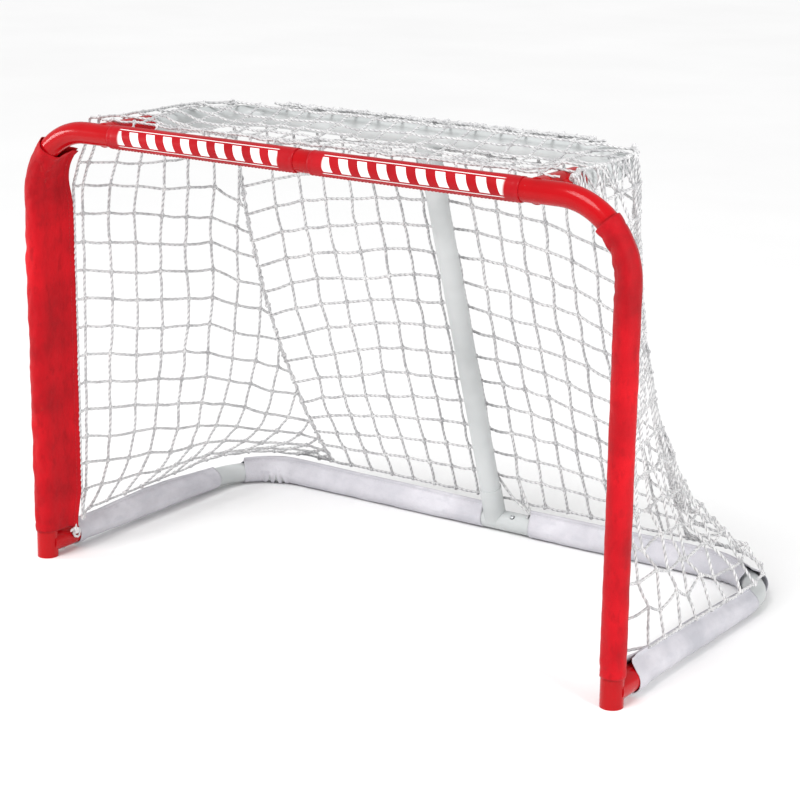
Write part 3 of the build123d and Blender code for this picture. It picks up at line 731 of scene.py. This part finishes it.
def base_axes(points, side, flap_out):
    """Section axes along a base bar: up, leaning out by the flap's offset, and across."""
    tangent = directions(points)
    outwards = np.cross(tangent, BASE_UP) * side
    lean = math.atan2(flap_out, FLAP_HEIGHT)
    first = BASE_UP * math.cos(lean) + outwards * math.sin(lean)
    second = np.cross(tangent, first)
    return first, second


def skirt_piece(name, points, side, flap_out, heights, rows, seed, gathers=(), open_end=0.0, lap=0.0):
    """Skirt along a base bar.  heights are the flap's tops at even steps along it."""
    axis = resample(points, rows)
    first, second = base_axes(axis, side, flap_out)

    def section(s, total, count):
        at = s / total * (len(heights) - 1)
        height = float(np.interp(at, range(len(heights)), heights))
        mouth = smooth(total - 0.035, total, s) * open_end
        radius = SKIRT_CLOTH_R + mouth
        gap = FLAP_GAP + 0.6 * mouth
        if lap:
            radius += (LAP_CLOTH_R - SKIRT_CLOTH_R) * (1 - smooth(lap, lap + 0.012, s))
            gap += LAP_MOUTH * (1 - smooth(0.0, lap, s))
        tip = height / math.cos(math.atan2(flap_out, FLAP_HEIGHT))
        return teardrop(radius, max(tip, radius + 0.002), gap, count)

    grid, local = cloth_grid(axis, first, second, section, SKIRT_COLUMNS)
    normal = outward_normals(grid, axis[:, None, :])
    total = local[-1, 0, 1]
    for row in range(rows):
        s = local[row, 0, 1]
        for column in range(SKIRT_COLUMNS):
            share = column / (SKIRT_COLUMNS - 1)
            out = skirt_relief(s, share, total, seed, gathers)
            grid[row, column] += normal[row, column] * out
    grid[:, :, 2] += np.maximum(FLOOR_GAP - grid[:, :, 2], 0)
    piece = cloth_piece(f"{name}_cloth", grid, local, WHITE_CLOTH, SKIRT_THICKNESS)
    rest_on(piece, name)
    thread = stitched(f"{name}_stitches", grid, normal, (3, SKIRT_COLUMNS - 4), WHITE_THREAD)
    rest_on(thread)


def skirt_relief(s, share, total, seed, gathers):
    """How far the skirt's cloth stands out of its smooth shape."""
    belly = math.sin(math.pi * share)
    long_fold = 0.0009 * ripple(share * 7, s * 10, 0.3, seed)
    short_fold = 0.0007 * ripple(share * 8 + s * 18, s * 34, 1.9, seed)
    ends = (1 - smooth(0, 0.025, s)) + smooth(total - 0.025, total, s)
    ruffle = 0.0010 * ends * ripple(share * 10, s * 30, 6.1, seed)
    out = belly * (long_fold + short_fold + ruffle)
    for centre, width, height in gathers:
        fall = math.exp(-(((s - centre) / width) ** 2))
        pleat = math.sin(s * 2 * math.pi / 0.011 + 2.0 * ripple(share * 6, s * 20, 3.3, seed))
        under = math.exp(-(((share - 0.36) / 0.13) ** 2)) + math.exp(-(((share - 0.64) / 0.13) ** 2))
        out += height * fall * pleat * under
    return out


SIDE_FLAPS = {  # heights of the side flaps, from the front to the rear
    "left": (0.019, 0.0195, 0.0225, 0.025, 0.0245, 0.021, 0.018),
    "right": (0.028, 0.028, 0.028, 0.0275, 0.0255, 0.0235, 0.021),
}
REAR_FLAPS = {  # and of the rear ones, from the middle to the corner
    "left": (0.025, 0.026, 0.0265, 0.0265, 0.0275, 0.028, 0.025),
    "right": (0.026, 0.0265, 0.027, 0.0275, 0.028, 0.027, 0.023),
}
REAR_STARTS = {"left": left_skirt_high.x, "right": right_skirt_low.x}  # their inner ends
REAR_TURNS = {"left": 57, "right": 50}  # degrees of the base's corner that they cover
REAR_GATHERS = {"left": (0.372, 0.020, 0.0032), "right": (0.300, 0.014, 0.0016)}
REAR_MOUTHS = {"left": 0.0, "right": 0.0055}  # how far the cloth stands off at the corner


def side_skirt(name, side):
    """Skirt along a side bar, from the foot socket to the base's corner."""
    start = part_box(f"{name}_side_skirt")[0].y
    line = [base_point(side * HALF_WIDTH, y) for y in (start - REAR_Y, -BASE_BEND_R)]
    lap = socket_high.y - start
    skirt_piece(f"{name}_side_skirt", line, side, 0.0, SIDE_FLAPS[name], 100, side + 11, lap=lap)


def rear_skirt(name, side, rows, seed):
    """Skirt along half of the rear bar and round part of the base's corner."""
    centre = (side * (HALF_WIDTH - BASE_BEND_R), -BASE_BEND_R)
    end = math.pi / 2 - side * math.radians(REAR_TURNS[name])
    bend = arc(centre, BASE_BEND_R, math.pi / 2, end, 20)
    line = [base_point(REAR_STARTS[name], 0), *[base_point(x, y) for x, y in bend]]
    skirt_piece(
        f"rear_{name}_skirt",
        line,
        side,
        REAR_FLAP_OUT,
        REAR_FLAPS[name],
        rows,
        seed,
        gathers=(REAR_GATHERS[name],),
        open_end=REAR_MOUTHS[name],
    )


# ---- crossbar wraps
WRAP_ROWS = 150
WRAP_COLUMNS = 60
WRAP_R = 0.01475
WRAP_START = math.radians(-118)
WRAP_TURN = math.radians(376)
PRINT_MIDDLE = math.radians(172)  # where the printed bars face, round the crossbar
PRINT_FROM = 0.023  # and where they begin and end along the wrap
PRINT_TO = 0.275


def crossbar_wrap(name, side):
    """Vinyl wrapped round half of the crossbar, lapped and stitched at its lower back."""
    low, high = sorted((abs(wrap_low.x), abs(wrap_high.x)))
    length = high - low
    grid = np.zeros((WRAP_ROWS, WRAP_COLUMNS, 3))
    local = np.zeros_like(grid)
    for row in range(WRAP_ROWS):
        share = row / (WRAP_ROWS - 1)
        x = side * (low + length * share)
        run = x * side - low
        inset = min(share, 1 - share) * length
        edge = smooth(0.0, 0.012, inset)
        ridge = 0.0003 * math.exp(-(((inset - 0.006) / 0.0012) ** 2))
        printed = smooth(PRINT_FROM - 0.001, PRINT_FROM + 0.001, run)
        printed *= 1 - smooth(PRINT_TO - 0.001, PRINT_TO + 0.001, run)
        for column in range(WRAP_COLUMNS):
            across = column / (WRAP_COLUMNS - 1)
            angle = WRAP_START + WRAP_TURN * across
            lap = 0.0006 * smooth(0.90, 0.97, across)
            soft = 0.00018 * ripple(x * 38, angle * 2.0, 1.0, side + 2)
            tight = 0.00012 * ripple(x * 12, angle * 5.0, 9.0, side + 5)
            r = WRAP_R + lap + (soft + tight) * edge - ridge
            grid[row, column] = (x, POST_Y + r * math.cos(angle), CROSSBAR_Z + r * math.sin(angle))
            local[row, column] = (x - side * low, (angle - PRINT_MIDDLE) * WRAP_R, printed)
    piece = cloth_piece(f"{name}_crossbar_wrap_vinyl", grid, local, VINYL, 0.0006)
    rest_on(piece, f"{name}_crossbar_wrap")
    centre = grid * (1, 0, 0) + np.array((0, POST_Y, CROSSBAR_Z))
    normal = outward_normals(grid, centre)
    thread = stitched(f"{name}_wrap_stitches", grid, normal, (WRAP_COLUMNS - 3,), RED_THREAD, 0.0004)
    rest_on(thread)


# ======== net
def shelf_corner(angle):
    """Point of the net's line round the shelf's left corner, the angle counted from -X."""
    centre_x = SHELF_BEND_R - SHELF_HALF_WIDTH
    centre_y = SHELF_Y - SHELF_BEND_R
    return (centre_x - NET_RADIUS * math.cos(angle), centre_y + NET_RADIUS * math.sin(angle))


def base_corner(angle):
    """Point of the net's line round the base's left corner, the angle counted from -X."""
    radius = BASE_BEND_R + REAR_FLAP_OUT + 0.001
    return (
        BASE_BEND_R - HALF_WIDTH - radius * math.cos(angle),
        REAR_Y - BASE_BEND_R + radius * math.sin(angle),
    )


SLEEVE_EDGE = (
    -HALF_WIDTH + (SLEEVE_FLAP_REACH + 0.001) * math.cos(SLEEVE_FLAP_ANGLE),
    POST_Y + (SLEEVE_FLAP_REACH + 0.001) * math.sin(SLEEVE_FLAP_ANGLE),
)
LOW_Z = 0.046  # lower edge, at the tops of the flaps
MIDDLE_Z = CROSSBAR_Z - FRONT_BEND_R  # where the posts begin to bend
REAR_LOW_Y = REAR_Y + REAR_FLAP_OUT + 0.001
ARM_X = SHELF_BEND_R - SHELF_HALF_WIDTH - NET_RADIUS  # net beside the shelf's left arm
SECTION_POINTS = 33
SEARCH_STEPS = 24  # halvings, in the search for a height on a seam
NET_COLUMNS_FROM = 0.012  # first upright cord, behind the front edge
SEAM_SAG = 0.042  # how far the seams hang inwards at mid-height
LOW_FADE = {-1: 0.060, 1: 0.110}  # height over which the net leaves each base corner
HIGH_FADE = 0.080  # and over which it leaves the shelf's
REAR_SAG_POWER = 1.4  # the rear panel's sag falls away from the seams
HUG_Z = CROSSBAR_Z - TUBE_R  # from here up it hugs the shelf
GATHER_STEPS = 17  # stretches of each bunched cord beside the right seam
DRAPE_STEPS = 9  # and of each loose cord over the right corner of the shelf

LOW_LINE = resample(
    [
        SLEEVE_EDGE,
        (-HALF_WIDTH, POST_Y + 0.075),
        *[base_corner(math.radians(a)) for a in (0, 15, 30, 45, 60, 75, 90)],
        (-SEAM_X, REAR_LOW_Y),
    ],
    SECTION_POINTS,
)
HIGH_LINE = resample(
    [
        (ARM_X - 0.022, POST_Y + 0.020),
        (ARM_X, POST_Y + 0.036),
        *[shelf_corner(math.radians(a)) for a in (0, 9, 18, 27, 36)],
        shelf_corner(SEAM_TOP_ANGLE),
    ],
    SECTION_POINTS,
)


def chord(line):
    """Straight line between the ends of a line, with as many points."""
    share = np.linspace(0, 1, len(line))[:, None]
    return line[0] + (line[-1] - line[0]) * share


LOW_BULGE = LOW_LINE - chord(LOW_LINE)
HIGH_BULGE = HIGH_LINE - chord(HIGH_LINE)
SEAM_FOOT = np.array((-SEAM_X, REAR_LOW_Y, LOW_Z))
SEAM_HEAD = np.array((*shelf_corner(SEAM_TOP_ANGLE), NET_TOP_Z))
SEAM_RUN = SEAM_HEAD - SEAM_FOOT
INWARDS = np.array((0.0, -SEAM_RUN[2], SEAM_RUN[1])) / math.hypot(SEAM_RUN[1], SEAM_RUN[2])


def seam_sag(share):
    return 4 * SEAM_SAG * share * (1 - share)


def seam_point(share, side=-1):
    """Point of a seam at a share of its height."""
    share = min(max(share, 0.0), 1.0)
    place = SEAM_FOOT + SEAM_RUN * share + INWARDS * seam_sag(share)
    place[0] *= -side
    return place


def seam_share(z):
    """Share of a seam's height at which it passes a height."""
    low, high = 0.0, 1.0
    for _ in range(SEARCH_STEPS):
        share = (low + high) / 2
        if seam_point(share)[2] < z:
            low = share
        else:
            high = share
    return low


def section_line(z, side=-1):
    """Horizontal section of a side panel at a height, as its points, on the left half."""
    up = smooth(MIDDLE_Z, NET_TOP_Z, z)
    front = np.array(SLEEVE_EDGE) + (HIGH_LINE[0] - np.array(SLEEVE_EDGE)) * up
    seam = seam_point(seam_share(z))[:2]
    share = np.linspace(0, 1, SECTION_POINTS)[:, None]
    low = math.exp(-(z - LOW_Z) / LOW_FADE[side])
    high = math.exp(-max(HUG_Z - z, 0) / HIGH_FADE)
    return front + (seam - front) * share + LOW_BULGE * low + HIGH_BULGE * high


def section_length(z, side=-1):
    line = section_line(z, side)
    return float(np.linalg.norm(np.diff(line, axis=0), axis=1).sum())


def side_surface(s, z, side=-1):
    """Point of a side panel at a distance behind its front edge, and at a height."""
    line = section_line(z, side)
    along = distances(line)
    s = min(max(s, 0.0), along[-1])
    return np.array((np.interp(s, along, line[:, 0]), np.interp(s, along, line[:, 1]), z))


def rear_surface(x, share):
    """Point of the rear panel at a distance from the middle, and a share of its height."""
    reach = abs(x)
    centre_x = SHELF_HALF_WIDTH - SHELF_BEND_R
    high_y = SHELF_Y - SHELF_BEND_R + NET_RADIUS
    if reach > centre_x:
        drop = math.sqrt(max(NET_RADIUS**2 - (reach - centre_x) ** 2, 0.0))
        high_y = SHELF_Y - SHELF_BEND_R + drop
    share = min(max(share, 0.0), 1.0)
    out = (reach / SEAM_X) ** REAR_SAG_POWER * seam_sag(share)
    flat = np.array((x, REAR_LOW_Y + (high_y - REAR_LOW_Y) * share, LOW_Z + (NET_TOP_Z - LOW_Z) * share))
    return flat + INWARDS * out


def weave_line(shape, knots, radius, dice, slack=0.0012):
    """One cord of the net through its knots, with its own small bows between them."""
    points = [knots[0]]
    for a, b in zip(knots[:-1], knots[1:]):
        points += [(np.array(a) + b) / 2 + (jiggle(dice, 1) - (0, 0, 0.4)) * slack, b]
    line = catmull(points, SAMPLES)
    thickness = radius * dice.uniform(0.94, 1.06)
    add_tube(shape, line, thickness, lobe=0.2, phase=dice.uniform(0, math.pi))


def column_profile(s, side):
    """Upright line of the side panel at a distance behind its front edge, up to the top or the seam."""
    points = []
    for z in np.linspace(LOW_Z, NET_TOP_Z, 120):
        if section_length(z, side) < s:
            points.append(seam_point(seam_share(z)))
            break
        points.append(side_surface(s, z, side))
    return np.array(points)


def add_gathers(shape, side, offsets, seed, dice):
    """Bunched meshes beside a seam: long cords that follow it, tied to each other in zigzag."""
    lines = []
    for offset in offsets:
        line = []
        for step in range(GATHER_STEPS + 1):
            share = 0.12 + 0.85 * step / GATHER_STEPS
            z = seam_point(share)[2]
            middle = math.sin(math.pi * share)
            reach = offset * (0.55 + 0.45 * middle)
            point = side_surface(section_length(z, side) - reach, z, side)
            point[0] += 0.007 * middle * ripple(offset * 60, share * 9, 1.0, seed)
            point[1] += 0.007 * middle * ripple(offset * 60, share * 9, 6.0, seed)
            point[0] *= -side
            line.append(point)
        lines.append(line)
        weave_line(shape, line, CORD_R, dice)
        for point in line:
            add_knot(shape, point, (side, 0, 0), dice, 0.9)
    for inner, outer in zip(lines[:-1], lines[1:]):
        for step in range(GATHER_STEPS):
            weave_line(shape, [inner[step + step % 2], outer[step + 1 - step % 2]], CORD_R, dice)


def add_drape(shape, side, seed, dice):
    """Loose cord that hangs in zigzag over the arm and the corner of the shelf."""
    for phase, drop in ((0, 0.040), (1, 0.026)):
        line = []
        for step in range(DRAPE_STEPS + 1):
            z = NET_TOP_Z - 0.002 - drop * ((step + phase) % 2)
            share = (step + 0.5 * phase) / (DRAPE_STEPS + 0.5)
            point = side_surface(section_length(z, side) * (0.06 + 0.92 * share), z, side)
            point[2] -= 0.005 * abs(ripple(share * 9, phase * 4.0, 2.0, seed))
            point[0] *= -side
            line.append(point)
        weave_line(shape, line, TOP_CORD_R, dice, 0.0022)
        for point in line:
            add_knot(shape, point, (side, 0, 0), dice, 0.9)


def side_net(name, side, slack, seed, gathers=()):
    """Side panel: upright cords level with the post, cut off by the sloping seam."""
    dice = rand(seed)
    shape = Shape()
    columns = int((section_length(LOW_Z) - NET_COLUMNS_FROM) / MESH)
    nodes, ends = {}, {}

    def loosen(point, k, m, fade):
        """Moves a knot from its even place, more where the net is slack."""
        low_slack = 1 + (slack - 1) * (1 - smooth(0.10, 0.30, point[2]))
        zigzag = 0.0045 * (low_slack - 1) * fade * (-1) ** (k + m)
        moved = np.array(point)
        for axis, (a, b, start) in enumerate(((8, 9, 11.0), (11, 11, 0.0), (13, 12, 5.0))):
            moved[axis] += 0.006 * low_slack * fade * ripple(point[1] * a, point[2] * b, start, seed)
        moved += (0.0, zigzag * 0.5, zigzag)
        moved += jiggle(dice, 0.0012 * low_slack * fade)
        moved[0] *= -side
        return moved

    for k in range(columns + 1):
        profile = column_profile(NET_COLUMNS_FROM + k * MESH, side)
        along = distances(profile)
        reaches_top = profile[-1][2] > NET_TOP_Z - 0.001
        step = along[-1] / NET_ROWS if reaches_top else MESH
        count = NET_ROWS if reaches_top else int((along[-1] - 0.010) / MESH)
        for m in range(count + 1):
            point = [np.interp(m * step, along, profile[:, axis]) for axis in range(3)]
            fade = min(smooth(0, 0.05, m * step), smooth(0, 0.05, along[-1] - m * step))
            fade *= smooth(-1, 2, k)
            nodes[k, m] = loosen(point, k, m, fade)
        if not reaches_top:
            end = profile[-1].copy()
            end[0] *= -side
            ends[k] = end
    edge = []
    for m in range(NET_ROWS + 1):
        run = [nodes[k, m] for k in range(columns + 1) if (k, m) in nodes]
        last = run[-1]
        front = side_surface(0.0, min(max(run[0][2], LOW_Z), NET_TOP_Z), side)
        front[0] *= -side
        edge.append(front)
        step_down = 0.010 if 0 < m < NET_ROWS else 0.0
        seam = seam_point(seam_share(max(last[2] - step_down, LOW_Z)) if m < NET_ROWS else 1.0, side)
        weave_line(shape, [front, *run, seam], CORD_R, dice)
    weave_line(shape, edge, CORD_R, dice, 0.0004)
    for k in range(columns + 1):
        run = [nodes[k, m] for m in range(NET_ROWS + 1) if (k, m) in nodes]
        if k in ends:
            run.append(ends[k])
        if len(run) > 1:
            weave_line(shape, run, CORD_R, dice)
    for point in nodes.values():
        add_knot(shape, point, (side, 0, 0), dice)
    if gathers:
        add_gathers(shape, side, gathers, seed, dice)
        add_drape(shape, side, seed, dice)
    rest_on(shape.make(f"{name}_net_cords", NET_CORD), f"{name}_net_panel")


ROW_DROOP = 0.036  # how far the rear panel's rows drop at its seams
SEAM_X_TOP = -shelf_corner(SEAM_TOP_ANGLE)[0]


def rear_net(seed):
    """Rear panel: upright cords level with the seams, rows that sag towards both seams."""
    dice = rand(seed)
    shape = Shape()

    def place(x, share):
        reach = abs(x) / SEAM_X
        sag = ROW_DROOP * reach**2.4 * smooth(0.0, 0.30, share) * (1 - 0.6 * smooth(0.85, 1.0, share))
        share2 = share - sag / (NET_TOP_Z - LOW_Z)
        widen = 1 + (SEAM_X_TOP / SEAM_X - 1) * share
        point = rear_surface(x * widen, share2)
        fade = math.sin(math.pi * min(max(share, 0), 1)) ** 0.6 * smooth(0, 0.15, 1 - reach + 0.02)
        point[0] += 0.006 * fade * ripple(x * 9, share * 6, 2.0, seed)
        point[1] += 0.005 * fade * ripple(x * 8, share * 6, 9.0, seed) * smooth(0.03, 0.08, abs(x))
        point[2] += 0.006 * fade * ripple(x * 10, share * 7, 4.0, seed)
        return point + jiggle(dice, 0.0012 * fade)

    nodes = {}
    for m in range(NET_ROWS + 1):
        for k in range(-REAR_HALF, REAR_HALF + 1):
            nodes[k, m] = place(k * REAR_STEP, m / NET_ROWS)
    for m in range(NET_ROWS + 1):
        run = [nodes[k, m] for k in range(-REAR_HALF, REAR_HALF + 1)]
        weave_line(shape, run, CORD_R, dice)
    for k in range(-REAR_HALF + 1, REAR_HALF):
        weave_line(shape, [nodes[k, m] for m in range(NET_ROWS + 1)], CORD_R, dice)
    for (k, m), point in nodes.items():
        if abs(k) < REAR_HALF:
            add_knot(shape, point, (0, 1, 0.4), dice)
    rest_on(shape.make("rear_net_cords", NET_CORD), "rear_net_panel")
    return nodes


def half_width_at(y):
    """Half the width of the top panel at a distance along the goal's depth."""
    centre_x = SHELF_HALF_WIDTH - SHELF_BEND_R
    centre_y = SHELF_Y - SHELF_BEND_R
    if y <= centre_y:
        return centre_x + NET_RADIUS
    return centre_x + math.sqrt(max(NET_RADIUS**2 - (y - centre_y) ** 2, 0.0))


def top_net(seed):
    """Top panel: rows along the crossbar, and cords that lean as they run forwards."""
    dice = rand(seed)
    shape = Shape()
    rear = SHELF_Y - SHELF_BEND_R + NET_RADIUS
    front = POST_Y + 0.020
    rows = 7
    lean = 0.20

    def place(x, y):
        width = half_width_at(y)
        x = min(max(x, -width), width)
        inside_x = smooth(0, 0.07, SHELF_HALF_WIDTH - TUBE_R - abs(x))
        inside_y = smooth(0, 0.07, y - POST_Y - TUBE_R) * smooth(0, 0.07, SHELF_Y - TUBE_R - y)
        sag = 0.013 * inside_x * inside_y
        edge = smooth(0.020, 0.0, width - abs(x)) + smooth(0.014, 0.0, rear - y)
        z = NET_TOP_Z + 0.001 - sag - 0.002 * min(edge, 1)
        fade = inside_x * inside_y
        x += 0.007 * fade * ripple(x * 9, y * 9, 0.5, seed)
        y += 0.006 * fade * ripple(x * 10, y * 10, 7.5, seed)
        z += 0.005 * fade * ripple(x * 9, y * 9, 3.5, seed)
        return np.array((x, y, z)) + jiggle(dice, 0.0014 * (0.3 + fade))

    row_y = [rear - 0.002 - (rear - front) * m / rows for m in range(rows + 1)]
    half = 9
    nodes = {}
    for m, y in enumerate(row_y):
        for k in range(-half - 2, half + 3):
            x = k * REAR_STEP + lean * (rear - y)
            if abs(x) < half_width_at(y) - 0.012:
                nodes[k, m] = place(x, y)
    for m, y in enumerate(row_y):
        run = [nodes[k, m] for k in range(-half - 2, half + 3) if (k, m) in nodes]
        width = half_width_at(y)
        weave_line(shape, [place(-width, y), *run, place(width, y)], TOP_CORD_R, dice, 0.0018)
    for k in range(-half - 2, half + 3):
        run = [nodes[k, m] for m in range(rows + 1) if (k, m) in nodes]
        if len(run) < 2:
            continue
        last = run[-1]
        if (k, rows) in nodes and abs(last[0]) < HALF_WIDTH - FRONT_BEND_R:
            for a in (0.75, 0.15, -0.5):
                tie = (last[0] + 0.002, POST_Y + 0.0175 * math.cos(a), CROSSBAR_Z + 0.0175 * math.sin(a))
                run.append(np.array(tie))
        weave_line(shape, run, TOP_CORD_R, dice, 0.0018)
    for point in nodes.values():
        add_knot(shape, point, (0, 0, 1), dice, 0.8)
    rest_on(shape.make("top_net_cords", NET_CORD), "top_net_panel")


LACE_REACH = 0.0027  # how far the lacing cord winds from the rope's middle


def edge_rope(name, cad, line, seed, turns):
    """Doubled edge cord with a lacing cord wound round it and a knot at each mesh."""
    dice = rand(seed)
    shape = Shape()
    base = resample(line, 160)
    sway = np.array([[ripple(i * 0.06, k * 9.0, 1.0, seed) for k in range(3)] for i in range(160)])
    base = base + sway * 0.0012
    for phase in (0, math.pi):
        add_tube(shape, winding(base, 9, 0.0013, phase), 0.0014, lobe=0.15)
    count = turns * 14
    wobble = np.array([1 + 0.25 * ripple(i * 0.11, 0.0, 3.0, seed) for i in range(count)])
    wound = winding(resample(base, count), turns, LACE_REACH * wobble)
    add_tube(shape, wound, 0.0010, lobe=0.15)
    for place in resample(base, max(3, turns // 2)):
        add_knot(shape, place, (0.3, 0.6, 0.7), dice, 1.15)
    rest_on(shape.make(name, ROPE_CORD), cad)


def seam_ropes():
    for name, side, seed in (("left", -1, 71), ("right", 1, 73)):
        line = [seam_point(share, side) + np.array((0.0, 0.0015, 0.0)) for share in np.linspace(0, 1, 13)]
        edge_rope(f"{name}_seam_lacing", f"{name}_seam_rope", line, seed, 30)
    rear = SHELF_Y - SHELF_BEND_R + NET_RADIUS + 0.001
    half = SHELF_HALF_WIDTH - SHELF_BEND_R
    ends = [(-half, rear, NET_TOP_Z - 0.001), (half, rear, NET_TOP_Z - 0.001)]
    edge_rope("shelf_edge_lacing", "shelf_rope", ends, 75, 24)


def rear_ties(knots):
    """Where the rear bar is bare there is no flap, so slack cords hang to a knot tied on the bar."""
    dice = rand(91)
    shape = Shape()
    tied = np.array((right_skirt_low.x - 0.004, REAR_Y + 0.002, REAR_Z + TUBE_R + 0.0024))
    for start, droop in ((knots[0, 1], 0.006), (knots[1, 1], 0.002), (knots[1, 0], 0.003)):
        middle = (start + tied) / 2 - np.array((0.0, 0.0, droop))
        add_tube(shape, catmull([start, middle, tied], 10), CORD_R, lobe=0.2)
    tail = [tied, tied + np.array((-0.002, -0.006, -0.0002)), tied + np.array((-0.001, -0.0105, -0.0030))]
    add_tube(shape, catmull(tail, 6), 0.0012, sides=8, lobe=0.12)
    add_knot(shape, tied, (0, -0.5, 0.8), dice, 1.2)
    rest_on(shape.make("rear_tie_cords", NET_CORD))


def lace_loop(name, side):
    """Tied cord ring on the inner side of a foot socket, with a knot and two short tails."""
    low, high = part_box(f"{name}_lace_loop")
    centre = (low + high) / 2
    dice = rand(81 + side)
    shape = Shape()
    radius = 0.0058
    angle = np.linspace(math.radians(50), math.radians(50 + 395), 60)
    sway = side * 0.0008 * np.cos(angle * 2)
    out = -radius * np.cos(angle) * (1 + 0.06 * np.sin(angle * 3))
    rise = radius * np.sin(angle) * (1 + 0.05 * np.cos(angle * 2))
    ring = np.array(centre) + np.stack([sway, out, rise], axis=1)
    add_tube(shape, ring, 0.0017, sides=10, lobe=0.12, pitch=0.010)
    turn = math.radians(50)
    knot = np.array(centre) + (-side * 0.0012, -radius * math.cos(turn), radius * math.sin(turn))
    for size in (1.0, 1.25, 1.1):
        add_knot(shape, knot, (-side, 0.2, 0.3), dice, size)
    tails = (
        ((0, -0.0035, 0.0022), (0, -0.0075, 0.0030), (0, -0.0100, 0.0005)),
        ((0, 0.0010, 0.0040), (0, 0.0005, 0.0080), (0, 0.0030, 0.0105)),
    )
    for tail in tails:
        line = catmull([knot, *[knot + np.array(p) for p in tail]], 8)
        add_tube(shape, line, 0.0014, sides=8, lobe=0.12, pitch=0.010)
    rest_on(shape.make(f"{name}_lace_loop_cord", ROPE_CORD), f"{name}_lace_loop")


# ======== build
def paint_frame():
    """Materials of the CAD nodes that show as they are."""
    paints = {
        "red_paint": RED_PAINT,
        "white_paint": WHITE_PAINT,
        "black_plastic": BLACK_PLASTIC,
        "spring_steel": SPRING_STEEL,
        "zinc_button": ZINC,
    }
    for part in frame["record"]["subparts"]:
        paint = paints.get(part["material_slot"])
        if paint:
            piece = frame["nodes"][part["node"]]
            piece.data.materials.clear()
            piece.data.materials.append(paint)


paint_frame()
for side, name in ((-1, "left"), (1, "right")):
    post_sleeve(name, side)
    crossbar_wrap(name, side)
    lace_loop(name, side)
side_skirt("left", -1)
side_skirt("right", 1)
rear_skirt("left", -1, 140, 23)
rear_skirt("right", 1, 120, 31)
side_net("left", -1, 1.0, 41)
side_net("right", 1, 2.2, 43, gathers=(0.012, 0.024, 0.040, 0.058))
rear_knots = rear_net(45)
top_net(47)
seam_ropes()
rear_ties(rear_knots)


# ======== studio
def studio():
    bpy.ops.mesh.primitive_plane_add(size=60.0, location=(0, 0, 0))
    floor = bpy.context.object
    floor.name = "studio_floor"
    floor.data.materials.append(floor_material())
    world = bpy.data.worlds.new("studio_world")
    world.use_nodes = True
    world.node_tree.nodes["Background"].inputs["Color"].default_value = (1.0, 1.0, 1.0, 1.0)
    world.node_tree.nodes["Background"].inputs["Strength"].default_value = 0.58
    bpy.context.scene.world = world
    bpy.context.scene.view_settings.view_transform = "Standard"
    sun = bpy.data.lights.new("soft_sun", "SUN")
    sun.energy = 2.2
    sun.angle = math.radians(30)
    lamp = bpy.data.objects.new("soft_sun", sun)
    lamp.rotation_euler = (math.radians(38), math.radians(-6), 0)
    bpy.context.scene.collection.objects.link(lamp)
    add_light("right_key", (1.9, -0.6, 0.9), 0.6, 19)
    add_light("left_key", (-1.9, -1.2, 0.9), 0.6, 16)


def add_light(name, place, size, power):
    data = bpy.data.lights.new(name, "AREA")
    data.size = size
    data.energy = power
    lamp = bpy.data.objects.new(name, data)
    lamp.location = place
    lamp.visible_camera = False
    aim = Vector((0, 0, 0.25)) - Vector(place)
    lamp.rotation_mode = "QUATERNION"
    lamp.rotation_quaternion = aim.to_track_quat("-Z", "Y")
    bpy.context.scene.collection.objects.link(lamp)


# Camera solved from the frame's straight lines in the photograph
CAMERA_PLACE = Vector((1.5737, -2.3590, 1.0436))
CAMERA_TURN = 0.5925  # radians from straight ahead, to the left
CAMERA_PITCH = 0.2745  # radians down
CAMERA_ROLL = 0.0122
CAMERA_LENS = 99.83  # mm on a 36 mm sensor


def photo_camera():
    """Camera at the photograph's viewing angle."""
    data = bpy.data.cameras.new("photo_camera")
    data.lens = CAMERA_LENS
    data.sensor_width = 36.0
    camera = bpy.data.objects.new("photo_camera", data)
    turn = Matrix.Rotation(CAMERA_TURN, 4, "Z")
    pitch = Matrix.Rotation(math.pi / 2 - CAMERA_PITCH, 4, "X")
    roll = Matrix.Rotation(CAMERA_ROLL, 4, "Z")
    camera.matrix_world = Matrix.Translation(CAMERA_PLACE) @ turn @ pitch @ roll
    bpy.context.scene.collection.objects.link(camera)
    bpy.context.scene.camera = camera


studio()
photo_camera()
